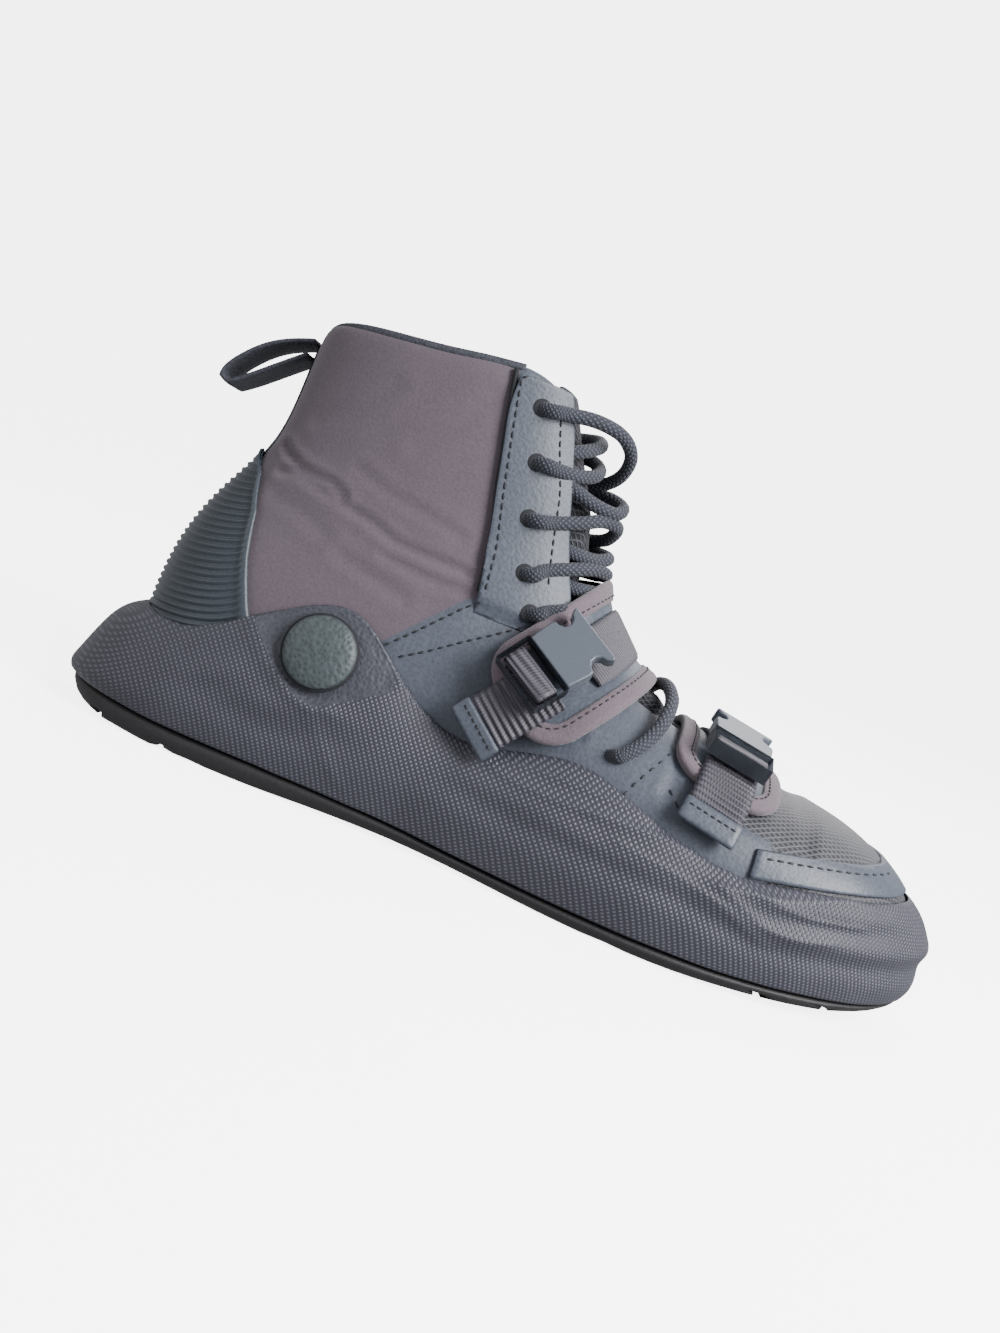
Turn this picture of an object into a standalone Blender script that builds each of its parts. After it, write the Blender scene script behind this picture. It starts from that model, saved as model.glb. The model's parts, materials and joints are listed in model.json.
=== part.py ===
# High-top sneaker, right shoe: cup sole with a raised wing, knit and leather upper, two buckled straps.
# Metres. Toe at +X, lateral side at -Y, ground at Z = 0. Tables are in millimetres from the heel tip.
import math

import bmesh
import bpy
import numpy as np

MM = 0.001
LENGTH = 320.0
MIDDLE = 160.57
SIDE = 1.1
BALL_WIDTH = 116.0
UPPER_BALL = 100.0
COLLAR_WIDTH = 62.0
SHAFT_HEIGHT = 162.0
WALL = 2.4
GAP = 0.3
SNUG = 0.7
INSOLE_THICK = 4.0
LACE = 4.8

for old in list(bpy.data.objects):
    bpy.data.objects.remove(old, do_unlink=True)


def curve(rows, key, column):
    """A smooth monotone curve through one named column of a table, as a function of its key column."""
    xs = np.array([row[key] for row in rows], float)
    ys = np.array([row[column] for row in rows], float)
    step = np.diff(xs)
    slope = np.diff(ys) / step
    tangent = np.zeros(len(xs))
    for i in range(1, len(xs) - 1):
        if slope[i - 1] * slope[i] > 0.0:
            tangent[i] = 2.0 * slope[i - 1] * slope[i] / (slope[i - 1] + slope[i])
    tangent[0] = slope[0]
    tangent[-1] = slope[-1]

    def value(x):
        x = min(max(float(x), xs[0]), xs[-1])
        i = min(max(int(np.searchsorted(xs, x)) - 1, 0), len(step) - 1)
        t = (x - xs[i]) / step[i]
        a = (2 * t ** 3 - 3 * t ** 2 + 1) * ys[i] + (t ** 3 - 2 * t ** 2 + t) * step[i] * tangent[i]
        b = (-2 * t ** 3 + 3 * t ** 2) * ys[i + 1] + (t ** 3 - t ** 2) * step[i] * tangent[i + 1]
        return a + b

    return value


def table(names, rows):
    """Rows of a table as dictionaries with named columns."""
    keys = names.split()
    return [dict(zip(keys, row)) for row in rows]


def ease(x):
    """Smooth step from 0 to 1."""
    x = min(max(x, 0.0), 1.0)
    return x * x * (3.0 - 2.0 * x)


# Plan outline of the sole. Station is a share of the length, widths are shares of the full ball width.
PLAN = table("station lateral medial", [
    (0.000, 0.000, 0.000),
    (0.006, 0.095, 0.095),
    (0.030, 0.205, 0.205),
    (0.080, 0.305, 0.305),
    (0.150, 0.358, 0.358),
    (0.240, 0.372, 0.368),
    (0.340, 0.366, 0.340),
    (0.430, 0.372, 0.320),
    (0.520, 0.410, 0.365),
    (0.600, 0.452, 0.452),
    (0.680, 0.482, 0.500),
    (0.760, 0.484, 0.505),
    (0.840, 0.450, 0.465),
    (0.910, 0.375, 0.400),
    (0.960, 0.275, 0.300),
    (0.985, 0.190, 0.200),
    (0.997, 0.100, 0.090),
    (1.000, 0.000, 0.000),
])
PLAN_SIDE = {
    -1: [(row["station"] * LENGTH, row["lateral"] * BALL_WIDTH) for row in PLAN],
    1: [(row["station"] * LENGTH, row["medial"] * BALL_WIDTH) for row in PLAN],
}

# Rays that lay out every ring: where each starts on the middle line and the way it points.
FAN = table("share origin turn", [
    (0.00, 0.150, 180.0),
    (0.09, 0.155, 140.0),
    (0.18, 0.190, 104.0),
    (0.26, 0.260, 92.0),
    (0.50, 0.520, 90.0),
    (0.72, 0.760, 88.0),
    (0.82, 0.840, 74.0),
    (0.91, 0.860, 40.0),
    (1.00, 0.865, 0.0),
])
FAN_ORIGIN = curve(FAN, "share", "origin")
FAN_TURN = curve(FAN, "share", "turn")

# Foot form: half widths are shares of the upper's ball width, heights in shares of the shaft height.
FOOT = table("station lateral medial widest top fullness", [
    (0.060, 0.300, 0.300, 0.26, 0.62, 2.2),
    (0.150, 0.345, 0.340, 0.26, 0.62, 2.2),
    (0.300, 0.350, 0.335, 0.26, 0.62, 2.0),
    (0.420, 0.350, 0.330, 0.25, 0.610, 1.9),
    (0.490, 0.365, 0.345, 0.24, 0.578, 1.8),
    (0.550, 0.395, 0.385, 0.23, 0.524, 1.9),
    (0.620, 0.440, 0.435, 0.22, 0.458, 2.0),
    (0.680, 0.475, 0.475, 0.21, 0.415, 2.1),
    (0.740, 0.490, 0.490, 0.20, 0.388, 2.2),
    (0.800, 0.480, 0.485, 0.19, 0.373, 2.3),
    (0.860, 0.450, 0.460, 0.18, 0.360, 2.4),
    (0.920, 0.405, 0.420, 0.18, 0.335, 2.5),
    (0.975, 0.360, 0.370, 0.18, 0.300, 2.6),
])
FOOT_OF = {name: curve(FOOT, "station", name) for name in ("lateral", "medial", "widest", "top", "fullness")}
HEEL_END = 0.078
TOE_START = 0.845
TOE_END = 0.974

# Shaft form, by height: back and front in shares of the length, half width in shares of the collar width.
SHAFT = table("height back front half", [
    (0.10, 0.082, 0.500, 0.520),
    (0.27, 0.080, 0.520, 0.545),
    (0.38, 0.084, 0.550, 0.540),
    (0.50, 0.101, 0.552, 0.515),
    (0.59, 0.121, 0.536, 0.495),
    (0.65, 0.134, 0.521, 0.485),
    (0.69, 0.143, 0.513, 0.480),
    (0.78, 0.147, 0.500, 0.480),
    (0.87, 0.149, 0.481, 0.485),
    (0.95, 0.151, 0.466, 0.500),
    (1.03, 0.154, 0.456, 0.512),
])
SHAFT_OF = {name: curve(SHAFT, "height", name) for name in ("back", "front", "half")}


def form(p):
    """Signed fullness of the upper's outside: below zero inside, zero on the surface."""
    x, y, z = p
    s = x / LENGTH
    h = z / SHAFT_HEIGHT
    half = FOOT_OF["lateral" if y < 0 else "medial"](s) * UPPER_BALL
    widest = FOOT_OF["widest"](s) * SHAFT_HEIGHT
    top = FOOT_OF["top"](s) * SHAFT_HEIGHT
    power = FOOT_OF["fullness"](s)
    rise = (z - widest) / (top - widest)
    if rise < 0.0:
        half *= 1.0 - 0.10 * min((widest - z) / widest, 1.0) ** 2
        rise = 0.0
    end = 0.0
    if s > TOE_START:
        end = (s - TOE_START) / (TOE_END - TOE_START)
    elif s < 0.20:
        end = (0.20 - s) / (0.20 - HEEL_END)
    foot = (abs(y / half) ** power + rise ** power + end ** 2.5) ** (1.0 / power) - 1.0
    back = SHAFT_OF["back"](h) * LENGTH
    front = SHAFT_OF["front"](h) * LENGTH
    centre = back + 0.46 * (front - back)
    reach = (centre - back) if x < centre else (front - centre)
    across = SHAFT_OF["half"](h) * COLLAR_WIDTH
    shaft = (abs((x - centre) / reach) ** 2.4 + abs(y / across) ** 2.4) ** (1.0 / 2.4) - 1.0
    soft = 0.16
    mix = min(max(0.5 + 0.5 * (shaft - foot) / soft, 0.0), 1.0)
    return shaft + (foot - shaft) * mix - soft * mix * (1.0 - mix)


def normal_at(p):
    """Outward unit normal of the upper's form."""
    e = 0.4
    g = np.array([form(p + d) - form(p - d) for d in np.eye(3) * e])
    size = np.linalg.norm(g)
    return g / size if size > 1e-9 else np.array([0.0, 0.0, 1.0])


def reach_form(origin, way):
    """First point of the upper's surface on a ray that starts inside it."""
    near, far = 0.0, 4.0
    while form(origin + way * far) < 0.0 and far < 260.0:
        near, far = far, far + 4.0
    for _ in range(26):
        mid = 0.5 * (near + far)
        if form(origin + way * mid) < 0.0:
            near = mid
        else:
            far = mid
    return origin + way * near


def plan_reach(origin_x, turn, side):
    """Distance from the middle line to the sole's outline along one ray."""
    way = np.array([math.cos(math.radians(turn)), math.sin(math.radians(turn))])
    points = PLAN_SIDE[side]
    best = 0.0
    for (x0, y0), (x1, y1) in zip(points[:-1], points[1:]):
        seg = np.array([x1 - x0, y1 - y0])
        det = seg[0] * way[1] - seg[1] * way[0]
        if abs(det) < 1e-9:
            continue
        dx, dy = x0 - origin_x, y0
        r = (seg[0] * dy - seg[1] * dx) / det
        k = (way[0] * dy - way[1] * dx) / det
        if -1e-6 <= k <= 1.000001 and r > best:
            best = r
    return best


# The sole's edge heights by station, in millimetres over the ground.
SOLE_LINES = table("station ground parting widest floor", [
    (0.00, 5.6, 8.6, 10.5, 30.0),
    (0.04, 2.6, 8.4, 12.0, 30.0),
    (0.09, 0.9, 8.0, 14.0, 30.0),
    (0.14, 0.0, 7.4, 16.0, 30.0),
    (0.27, 0.0, 6.9, 20.0, 29.0),
    (0.34, 0.9, 6.6, 21.0, 27.5),
    (0.44, 1.5, 5.6, 20.0, 25.0),
    (0.54, 0.8, 4.6, 19.0, 22.5),
    (0.60, 0.0, 4.4, 19.0, 21.5),
    (0.71, 0.0, 4.7, 19.0, 21.0),
    (0.78, 1.2, 5.2, 19.0, 21.5),
    (0.86, 3.0, 6.8, 19.0, 22.5),
    (0.93, 5.4, 8.2, 18.5, 24.0),
    (1.00, 9.0, 10.8, 16.0, 25.0),
])
SOLE_OF = {name: curve(SOLE_LINES, "station", name) for name in ("ground", "parting", "widest", "floor")}

# Top edge of the cup sole on each side: the wing that carries the disc stands at station 0.30.
CUP_EDGE = table("station lateral medial", [
    (0.000, 41.0, 41.0),
    (0.090, 40.2, 40.2),
    (0.135, 40.0, 40.0),
    (0.180, 45.6, 44.0),
    (0.220, 54.4, 51.0),
    (0.262, 62.1, 57.5),
    (0.294, 67.3, 62.0),
    (0.310, 67.0, 62.0),
    (0.338, 63.3, 58.0),
    (0.370, 53.7, 50.5),
    (0.415, 44.0, 42.0),
    (0.450, 39.4, 37.5),
    (0.490, 41.2, 37.0),
    (0.541, 46.1, 37.5),
    (0.574, 48.4, 38.0),
    (0.620, 46.0, 38.0),
    (0.671, 39.9, 36.5),
    (0.707, 37.0, 35.5),
    (0.754, 34.6, 34.8),
    (0.787, 36.0, 35.8),
    (0.845, 39.1, 38.5),
    (0.903, 41.4, 41.0),
    (0.943, 43.0, 42.6),
    (1.000, 43.4, 43.4),
])
CUP_OF = {-1: curve(CUP_EDGE, "station", "lateral"), 1: curve(CUP_EDGE, "station", "medial")}

# Long sculpted ridges of the cup's side: height of each line by station, with how far it stands out.
RIDGES = {
    "wing": (table("station height", [(0.165, 44.0), (0.19, 37.0), (0.22, 31.0), (0.25, 28.0), (0.30, 29.0),
                                      (0.34, 34.0), (0.37, 42.0)]), 1.5, 4.5),
    "upper": (table("station height", [(0.585, 36.0), (0.655, 36.2), (0.72, 34.0), (0.755, 32.0), (0.79, 32.2),
                                       (0.84, 34.5), (0.90, 37.0), (0.955, 39.5)]), 1.0, 3.0),
    "middle": (table("station height", [(0.45, 34.0), (0.50, 31.0), (0.58, 29.5), (0.68, 29.0), (0.76, 28.5),
                                        (0.83, 31.5)]), 1.1, 4.0),
    "lower": (table("station height", [(0.72, 26.5), (0.76, 24.5), (0.81, 23.5), (0.87, 25.5), (0.93, 27.0),
                                       (0.965, 28.5), (1.0, 29.5)]), 1.5, 3.6),
}
RIDGE_OF = {name: (rows[0]["station"], rows[-1]["station"], curve(rows, "station", "height"), out, wide)
            for name, (rows, out, wide) in RIDGES.items()}


def ridge(s, z):
    """How far the sculpted ridges push the side out at one place."""
    total = 0.0
    for start, stop, height, out, wide in RIDGE_OF.values():
        fade = ease((s - start) / 0.035) * (1.0 if stop >= 1.0 else ease((stop - s) / 0.035))
        d = (z - height(s)) / wide
        total += out * fade * (math.exp(-d * d) - 0.75 * math.exp(-(d + 1.3) ** 2))
    return total


def material(name, colour, rough, metallic=0.0):
    """A plain Principled material."""
    mat = bpy.data.materials.new(name)
    mat.use_nodes = True
    shader = mat.node_tree.nodes["Principled BSDF"]
    shader.inputs["Base Color"].default_value = (*colour, 1.0)
    shader.inputs["Roughness"].default_value = rough
    shader.inputs["Metallic"].default_value = metallic
    mat.diffuse_color = (*colour, 1.0)
    return mat


def solid(name, verts, faces, colour, rough, smooth=35.0, split=False):
    """One closed body from millimetre points, with doubles merged and faces turned out."""
    bm = bmesh.new()
    for x, y, z in verts:
        bm.verts.new(((x - MIDDLE) * MM, (y - SIDE) * MM, z * MM))
    bm.verts.ensure_lookup_table()
    for face in faces:
        keys = list(dict.fromkeys(face))
        if len(keys) > 2:
            try:
                bm.faces.new([bm.verts[i] for i in keys])
            except ValueError:
                pass
    bmesh.ops.remove_doubles(bm, verts=bm.verts, dist=0.00002)
    bmesh.ops.dissolve_degenerate(bm, edges=bm.edges, dist=0.00001)
    bmesh.ops.triangulate(bm, faces=[f for f in bm.faces if split or len(f.verts) > 4])
    bmesh.ops.recalc_face_normals(bm, faces=bm.faces)
    if bm.calc_volume(signed=True) < 0.0:
        bmesh.ops.reverse_faces(bm, faces=bm.faces)
    mesh = bpy.data.meshes.new(name)
    bm.to_mesh(mesh)
    bm.free()
    obj = bpy.data.objects.new(name, mesh)
    bpy.context.scene.collection.objects.link(obj)
    mesh.materials.append(material(name + "_mat", colour, rough))
    mesh.shade_smooth()
    mesh.set_sharp_from_angle(angle=math.radians(smooth))
    return obj


def ring_solid(name, rings, colour, rough, closed_ends=True, smooth=35.0):
    """A body from closed rings; the last joins the first, or both ends are closed flat."""
    n = len(rings[0])
    verts = [tuple(p) for r in rings for p in r]
    faces = []
    count = len(rings)
    for j in range(count - 1 if closed_ends else count):
        a, b = j * n, ((j + 1) % count) * n
        for i in range(n):
            k = (i + 1) % n
            faces.append((a + i, a + k, b + k, b + i))
    if closed_ends:
        faces.append(tuple(range(n)))
        faces.append(tuple(range((count - 1) * n, count * n)))
    return solid(name, verts, faces, colour, rough, smooth)


def patch_solid(name, point, nu, nv, inner, outer, colour, rough, smooth=35.0):
    """A curved plate on the upper's form between two offsets, with point(a, b) giving surface and normal."""
    verts, faces = [], []
    for layer in (inner, outer):
        for j in range(nv + 1):
            for i in range(nu + 1):
                a, b = i / nu, j / nv
                p, n = point(a, b)
                off = layer(a, b) if callable(layer) else layer
                verts.append(tuple(p + n * off))
    w = nu + 1
    size = w * (nv + 1)
    for j in range(nv):
        for i in range(nu):
            q = j * w + i
            faces.append((q, q + 1, q + w + 1, q + w))
            faces.append((size + q, size + q + 1, size + q + w + 1, size + q + w))
    edge = [i for i in range(nu)] + [j * w + nu for j in range(nv)]
    edge += [nv * w + i for i in range(nu, 0, -1)] + [j * w for j in range(nv, 0, -1)]
    for a, b in zip(edge, edge[1:] + edge[:1]):
        faces.append((a, b, size + b, size + a))
    return solid(name, verts, faces, colour, rough, smooth)


def fan_columns(per_side):
    """Stations round the shoe: heel, lateral side, toe, medial side, each with its side sign."""
    shares = [i / per_side for i in range(per_side + 1)]
    out = [(t, -1) for t in shares]
    out += [(t, 1) for t in reversed(shares[1:-1])]
    return out


def fan_ray(t, side, z):
    """Start and way of one level ray of the fan."""
    turn = math.radians(FAN_TURN(t))
    return np.array([FAN_ORIGIN(t) * LENGTH, 0.0, z]), np.array([math.cos(turn), side * math.sin(turn), 0.0])


RUBBER = (0.035, 0.033, 0.036)
FOAM = (0.15, 0.148, 0.165)
LEATHER = (0.105, 0.115, 0.14)
KNIT = (0.165, 0.125, 0.14)
MESH = (0.035, 0.035, 0.045)
SUEDE = (0.19, 0.15, 0.16)
WEBBING = (0.055, 0.052, 0.06)
PLASTIC = (0.13, 0.145, 0.17)


def outline_ring(columns, inset, height):
    """A ring on the sole's outline, drawn in by an inset, at heights read by station."""
    ring = []
    for t, side in columns:
        origin, way = fan_ray(t, side, 0.0)
        reach = plan_reach(origin[0], FAN_TURN(t), side) - inset
        p = origin + way * reach
        p[2] = height(p[0] / LENGTH)
        ring.append(p)
    return ring


def build_outsole(per_side=24):
    """Outsole: a 5 mm slab under the cup with grooves across it as main lugs."""
    columns = fan_columns(per_side)
    ground = SOLE_OF["ground"]
    top = lambda s: SOLE_OF["parting"](s)
    rings = [
        [np.array([0.97 * q[0] + 0.03 * MIDDLE, q[1] * 0.9, q[2]]) for q in outline_ring(columns, 6.0, ground)],
        outline_ring(columns, 4.6, ground),
        outline_ring(columns, 3.4, lambda s: ground(s) + 1.2),
        outline_ring(columns, 2.6, lambda s: 0.5 * (ground(s) + top(s)) + 0.6),
        outline_ring(columns, 2.8, top),
    ]
    n = len(columns)
    verts = [tuple(p) for r in rings for p in r]
    faces = []
    for j in range(len(rings) - 1):
        for i in range(n):
            k = (i + 1) % n
            faces.append((j * n + i, j * n + k, (j + 1) * n + k, (j + 1) * n + i))
    for j, level in ((0, ground), (len(rings) - 1, top)):
        for i in range(n):
            k = (i + 1) % n
            a, b = verts[j * n + i], verts[j * n + k]
            ca, cb = (FAN_ORIGIN(columns[i][0]) * LENGTH), (FAN_ORIGIN(columns[k][0]) * LENGTH)
            verts.append((ca, 0.0, level(ca / LENGTH)))
            verts.append((cb, 0.0, level(cb / LENGTH)))
            faces.append((j * n + i, j * n + k, len(verts) - 1, len(verts) - 2))
    obj = solid("outsole", verts, faces, RUBBER, 0.7, split=True)
    for x in (28.3, 53.3, 262.3, 285.3):
        level = ground(x / LENGTH)
        cut = box("cut_%d" % int(x), (x, 0.4, level - 1.0), (2.4, 130.0, 4.4))
        trim(obj, cut)
    for side in (-1, 1):
        cut = box("cut_waist_%d" % side, (MIDDLE - 8.3, side * 12.7, 0.0), (121.7, 3.0, 4.6))
        trim(obj, cut)
    return obj


def box(name, centre, size):
    """A plain box cutter, hidden from the render."""
    verts = []
    for k in (-0.5, 0.5):
        for a, b in ((-0.5, -0.5), (0.5, -0.5), (0.5, 0.5), (-0.5, 0.5)):
            verts.append((centre[0] + a * size[0], centre[1] + b * size[1], centre[2] + k * size[2]))
    faces = [(0, 3, 2, 1), (4, 5, 6, 7), (0, 1, 5, 4), (1, 2, 6, 5), (2, 3, 7, 6), (3, 0, 4, 7)]
    obj = solid(name, verts, faces, RUBBER, 0.5)
    obj.hide_render = True
    obj.display_type = "WIRE"
    return obj


def trim(obj, cutter):
    """Cut one solid with another."""
    mod = obj.modifiers.new(cutter.name, "BOOLEAN")
    mod.operation = "DIFFERENCE"
    mod.solver = "EXACT"
    mod.object = cutter


def cup_heights(t, side):
    """Heights that one column of the cup sole passes through: parting, widest, edge and floor."""
    origin, way = fan_ray(t, side, 0.0)
    reach = plan_reach(origin[0], FAN_TURN(t), side)
    s = (origin + way * reach)[0] / LENGTH
    s = min(max(s, 0.0), 1.0)
    edge = CUP_OF[side](min(max((origin + way * reach * 0.86)[0] / LENGTH, 0.0), 1.0))
    return origin, way, reach, s, edge


LIP = 2.6


def cup_column(t, side, outside_rows, inside_rows):
    """Points of one column of the cup: under, up the outside, over the lip and down the inside."""
    origin, way, reach, s, edge = cup_heights(t, side)
    parting = SOLE_OF["parting"](s) + GAP
    widest = SOLE_OF["widest"](s)
    floor = SOLE_OF["floor"](s)
    points = [origin + way * (reach - 3.0) + np.array([0.0, 0.0, parting])]
    rim = reach_form(origin + np.array([0.0, 0.0, edge]), way)
    rim_reach = float(np.dot(rim - origin, way)) + LIP
    for j in range(outside_rows + 1):
        k = j / outside_rows
        z = parting + 0.6 + (edge - parting - 0.6) * k
        if z < widest:
            r = reach - 2.2 * ((widest - z) / (widest - parting)) ** 1.6
        else:
            up = (z - widest) / (edge - widest)
            heel = 1.0 - ease(t / 0.22)
            toe = ease((t - 0.74) / 0.2)
            lean = (1.0 - heel - toe) * (0.55 * up ** 1.5 + 0.45 * up ** 3.0)
            lean += heel * (0.62 * up + 0.38 * up ** 8) + toe * up ** 4
            r = reach + (rim_reach - reach) * lean
        p = origin + way * r
        r += ridge(p[0] / LENGTH, z) * ease((edge - z) / 4.0) * ease((z - parting) / 5.0)
        points.append(origin + way * r + np.array([0.0, 0.0, z]))
    for j in range(inside_rows + 1):
        z = edge + (floor - edge) * (j / inside_rows)
        if j == 0:
            z = edge + 0.4
        hit = reach_form(origin + np.array([0.0, 0.0, z]), way)
        n = normal_at(hit)
        level = max(float(np.dot(n, way)), 0.5)
        points.append(hit + way * (SNUG / level + (0.4 if j == 0 else 0.0)))
    middle = [np.array([origin[0], 0.0, SOLE_OF["parting"](origin[0] / LENGTH) + GAP])]
    middle.append(np.array([origin[0], 0.0, SOLE_OF["floor"](origin[0] / LENGTH)]))
    return points, middle


def build_midsole(per_side=36):
    """Cup sole: one closed body with a cavity for the upper, a wing and sculpted ridges."""
    columns = fan_columns(per_side)
    cols = [cup_column(t, side, 13, 3) for t, side in columns]
    n = len(cols)
    rows = len(cols[0][0])
    verts = [tuple(p) for c, _ in cols for p in c]
    faces = []
    for i in range(n):
        k = (i + 1) % n
        for j in range(rows - 1):
            faces.append((i * rows + j, k * rows + j, k * rows + j + 1, i * rows + j + 1))
        base = len(verts)
        for m in (cols[i][1][0], cols[k][1][0], cols[i][1][1], cols[k][1][1]):
            verts.append(tuple(m))
        faces.append((i * rows, k * rows, base + 1, base))
        faces.append((i * rows + rows - 1, k * rows + rows - 1, base + 3, base + 2))
    return solid("midsole", verts, faces, FOAM, 0.75)


# Top edge of the upper, from the heel round the collar and down the throat: ray start and edge point.
TOP_EDGE = table("share from_x from_z edge_x edge_y edge_z", [
    (0.00, 0.300, 0.935, 0.152, 0.00, 0.935),
    (0.11, 0.300, 0.955, 0.175, 0.36, 0.955),
    (0.21, 0.320, 0.968, 0.290, 0.50, 0.968),
    (0.31, 0.370, 0.995, 0.385, 0.45, 0.995),
    (0.355, 0.395, 0.985, 0.425, 0.36, 0.985),
    (0.40, 0.400, 0.900, 0.445, 0.34, 0.900),
    (0.46, 0.425, 0.750, 0.472, 0.33, 0.760),
    (0.53, 0.460, 0.510, 0.496, 0.33, 0.600),
    (0.62, 0.545, 0.260, 0.560, 0.30, 0.475),
    (0.76, 0.630, 0.200, 0.635, 0.26, 0.430),
    (0.88, 0.660, 0.180, 0.668, 0.14, 0.420),
    (1.00, 0.670, 0.180, 0.674, 0.00, 0.420),
])
TOP_OF = {name: curve(TOP_EDGE, "share", name) for name in ("from_x", "from_z", "edge_x", "edge_y", "edge_z")}
BOTTOM_LIFT = GAP + 0.2


def upper_point(t, side, v):
    """A point and normal of the upper's outside: t runs heel to toe, v from the sole to the top edge."""
    origin, way = fan_ray(t, side, 0.0)
    s = min(max((origin + way * 30.0)[0] / LENGTH, 0.0), 1.0)
    low = SOLE_OF["floor"](s)
    hit = reach_form(origin + np.array([0.0, 0.0, low + 2.0]), way)
    low = SOLE_OF["floor"](min(max(hit[0] / LENGTH, 0.0), 1.0)) + BOTTOM_LIFT
    start = origin + np.array([0.0, 0.0, low])
    finish = np.array([TOP_OF["from_x"](t) * LENGTH, 0.0, TOP_OF["from_z"](t) * SHAFT_HEIGHT])
    edge = np.array([TOP_OF["edge_x"](t) * LENGTH, side * TOP_OF["edge_y"](t) * COLLAR_WIDTH,
                     TOP_OF["edge_z"](t) * SHAFT_HEIGHT])
    end_way = edge - finish
    end_way = end_way / np.linalg.norm(end_way)
    cosine = min(max(float(np.dot(way, end_way)), -1.0), 1.0)
    angle = math.acos(cosine)
    if angle < 1e-4:
        direction = way
    else:
        direction = (way * math.sin((1.0 - v) * angle) + end_way * math.sin(v * angle)) / math.sin(angle)
    at = start + (finish - start) * v
    p = reach_form(at, direction / np.linalg.norm(direction))
    return p, normal_at(p)


def build_upper(per_side=27, rows=11):
    """Upper: one hollow solid, open at the collar and throat and underneath."""
    columns = fan_columns(per_side)
    outer, inner = [], []
    for t, side in columns:
        out_col, in_col = [], []
        for j in range(rows + 1):
            v = j / rows
            p, n = upper_point(t, side, v)
            pad = WALL + 2.2 * ease((v - 0.80) / 0.12) * ease((0.36 - t) / 0.05)
            q = p - n * pad
            if j == 0:
                q[2] = p[2]
            out_col.append(p)
            in_col.append(q)
        outer.append(out_col)
        inner.append(in_col)
    n = len(columns)
    w = rows + 1
    verts = [tuple(p) for col in outer for p in col] + [tuple(p) for col in inner for p in col]
    size = n * w
    faces = []
    for i in range(n):
        k = (i + 1) % n
        for j in range(rows):
            faces.append((i * w + j, k * w + j, k * w + j + 1, i * w + j + 1))
            faces.append((size + i * w + j, size + k * w + j, size + k * w + j + 1, size + i * w + j + 1))
        for j in (0, rows):
            faces.append((i * w + j, k * w + j, size + k * w + j, size + i * w + j))
    return solid("upper", verts, faces, KNIT, 0.85)


def build_insole(per_side=26):
    """Insole: a soft slab on the cup's floor, clear of the upper's wall."""
    columns = fan_columns(per_side)
    low, high = [], []
    for t, side in columns:
        origin, way = fan_ray(t, side, 0.0)
        hit = reach_form(origin + np.array([0.0, 0.0, SOLE_OF["floor"](origin[0] / LENGTH) + 2.0]), way)
        level = max(float(np.dot(normal_at(hit), way)), 0.55)
        p = hit - way * ((WALL + 2 * GAP) / level + 0.5)
        s = min(max(p[0] / LENGTH, 0.0), 1.0)
        p[2] = SOLE_OF["floor"](s) + GAP + 0.2
        low.append(p)
        high.append(p + np.array([0.0, 0.0, INSOLE_THICK]))
    n = len(columns)
    verts = [tuple(p) for p in low + high]
    faces = []
    for i in range(n):
        k = (i + 1) % n
        faces.append((i, k, n + k, n + i))
    for shift, lift in ((0, GAP + 0.2), (n, GAP + 0.2 + INSOLE_THICK)):
        for i in range(n):
            k = (i + 1) % n
            for c in (columns[i], columns[k]):
                x = FAN_ORIGIN(c[0]) * LENGTH
                verts.append((x, 0.0, SOLE_OF["floor"](x / LENGTH) + lift))
            faces.append((shift + i, shift + k, len(verts) - 1, len(verts) - 2))
    return solid("insole", verts, faces, MESH, 0.9)


# Middle line of the tongue under the throat: station, depth under the upper's form, half width.
TONGUE = table("share from_x from_z edge_x edge_z half", [
    (0.00, 0.655, 0.200, 0.700, 0.420, 0.30),
    (0.20, 0.600, 0.220, 0.630, 0.450, 0.40),
    (0.40, 0.540, 0.260, 0.560, 0.520, 0.48),
    (0.60, 0.430, 0.520, 0.520, 0.620, 0.50),
    (0.80, 0.400, 0.780, 0.485, 0.800, 0.52),
    (1.00, 0.380, 0.990, 0.460, 1.010, 0.54),
])
TONGUE_OF = {name: curve(TONGUE, "share", name) for name in ("from_x", "from_z", "edge_x", "edge_z", "half")}


def tongue_point(a, b):
    """A point of the tongue's outside: a across, b from the toe end to the top."""
    finish = np.array([TONGUE_OF["from_x"](b) * LENGTH, 0.0, TONGUE_OF["from_z"](b) * SHAFT_HEIGHT])
    edge = np.array([TONGUE_OF["edge_x"](b) * LENGTH, 0.0, TONGUE_OF["edge_z"](b) * SHAFT_HEIGHT])
    up = edge - finish
    up = up / np.linalg.norm(up)
    spread = (2.0 * a - 1.0) * TONGUE_OF["half"](b) * 1.9
    way = up * math.cos(spread) + np.array([0.0, 1.0, 0.0]) * math.sin(spread)
    p = reach_form(finish, way)
    n = normal_at(p)
    return p - n * (WALL + GAP + 0.6 + 3.2 * math.cos(spread) ** 2 * ease((b - 0.25) / 0.3)), n


def build_tongue():
    """Tongue: a padded mesh plate lying under the throat, clear of the upper."""
    return patch_solid("tongue", tongue_point, 10, 10, -3.4, 0.0, MESH, 0.9)


# Heel counter: ribbed leaf on the back, its front edge by height.
COUNTER = table("height edge", [
    (0.265, 0.29), (0.35, 0.245), (0.43, 0.205), (0.52, 0.165), (0.60, 0.115), (0.645, 0.055)])
COUNTER_EDGE = curve(COUNTER, "height", "edge")


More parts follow.
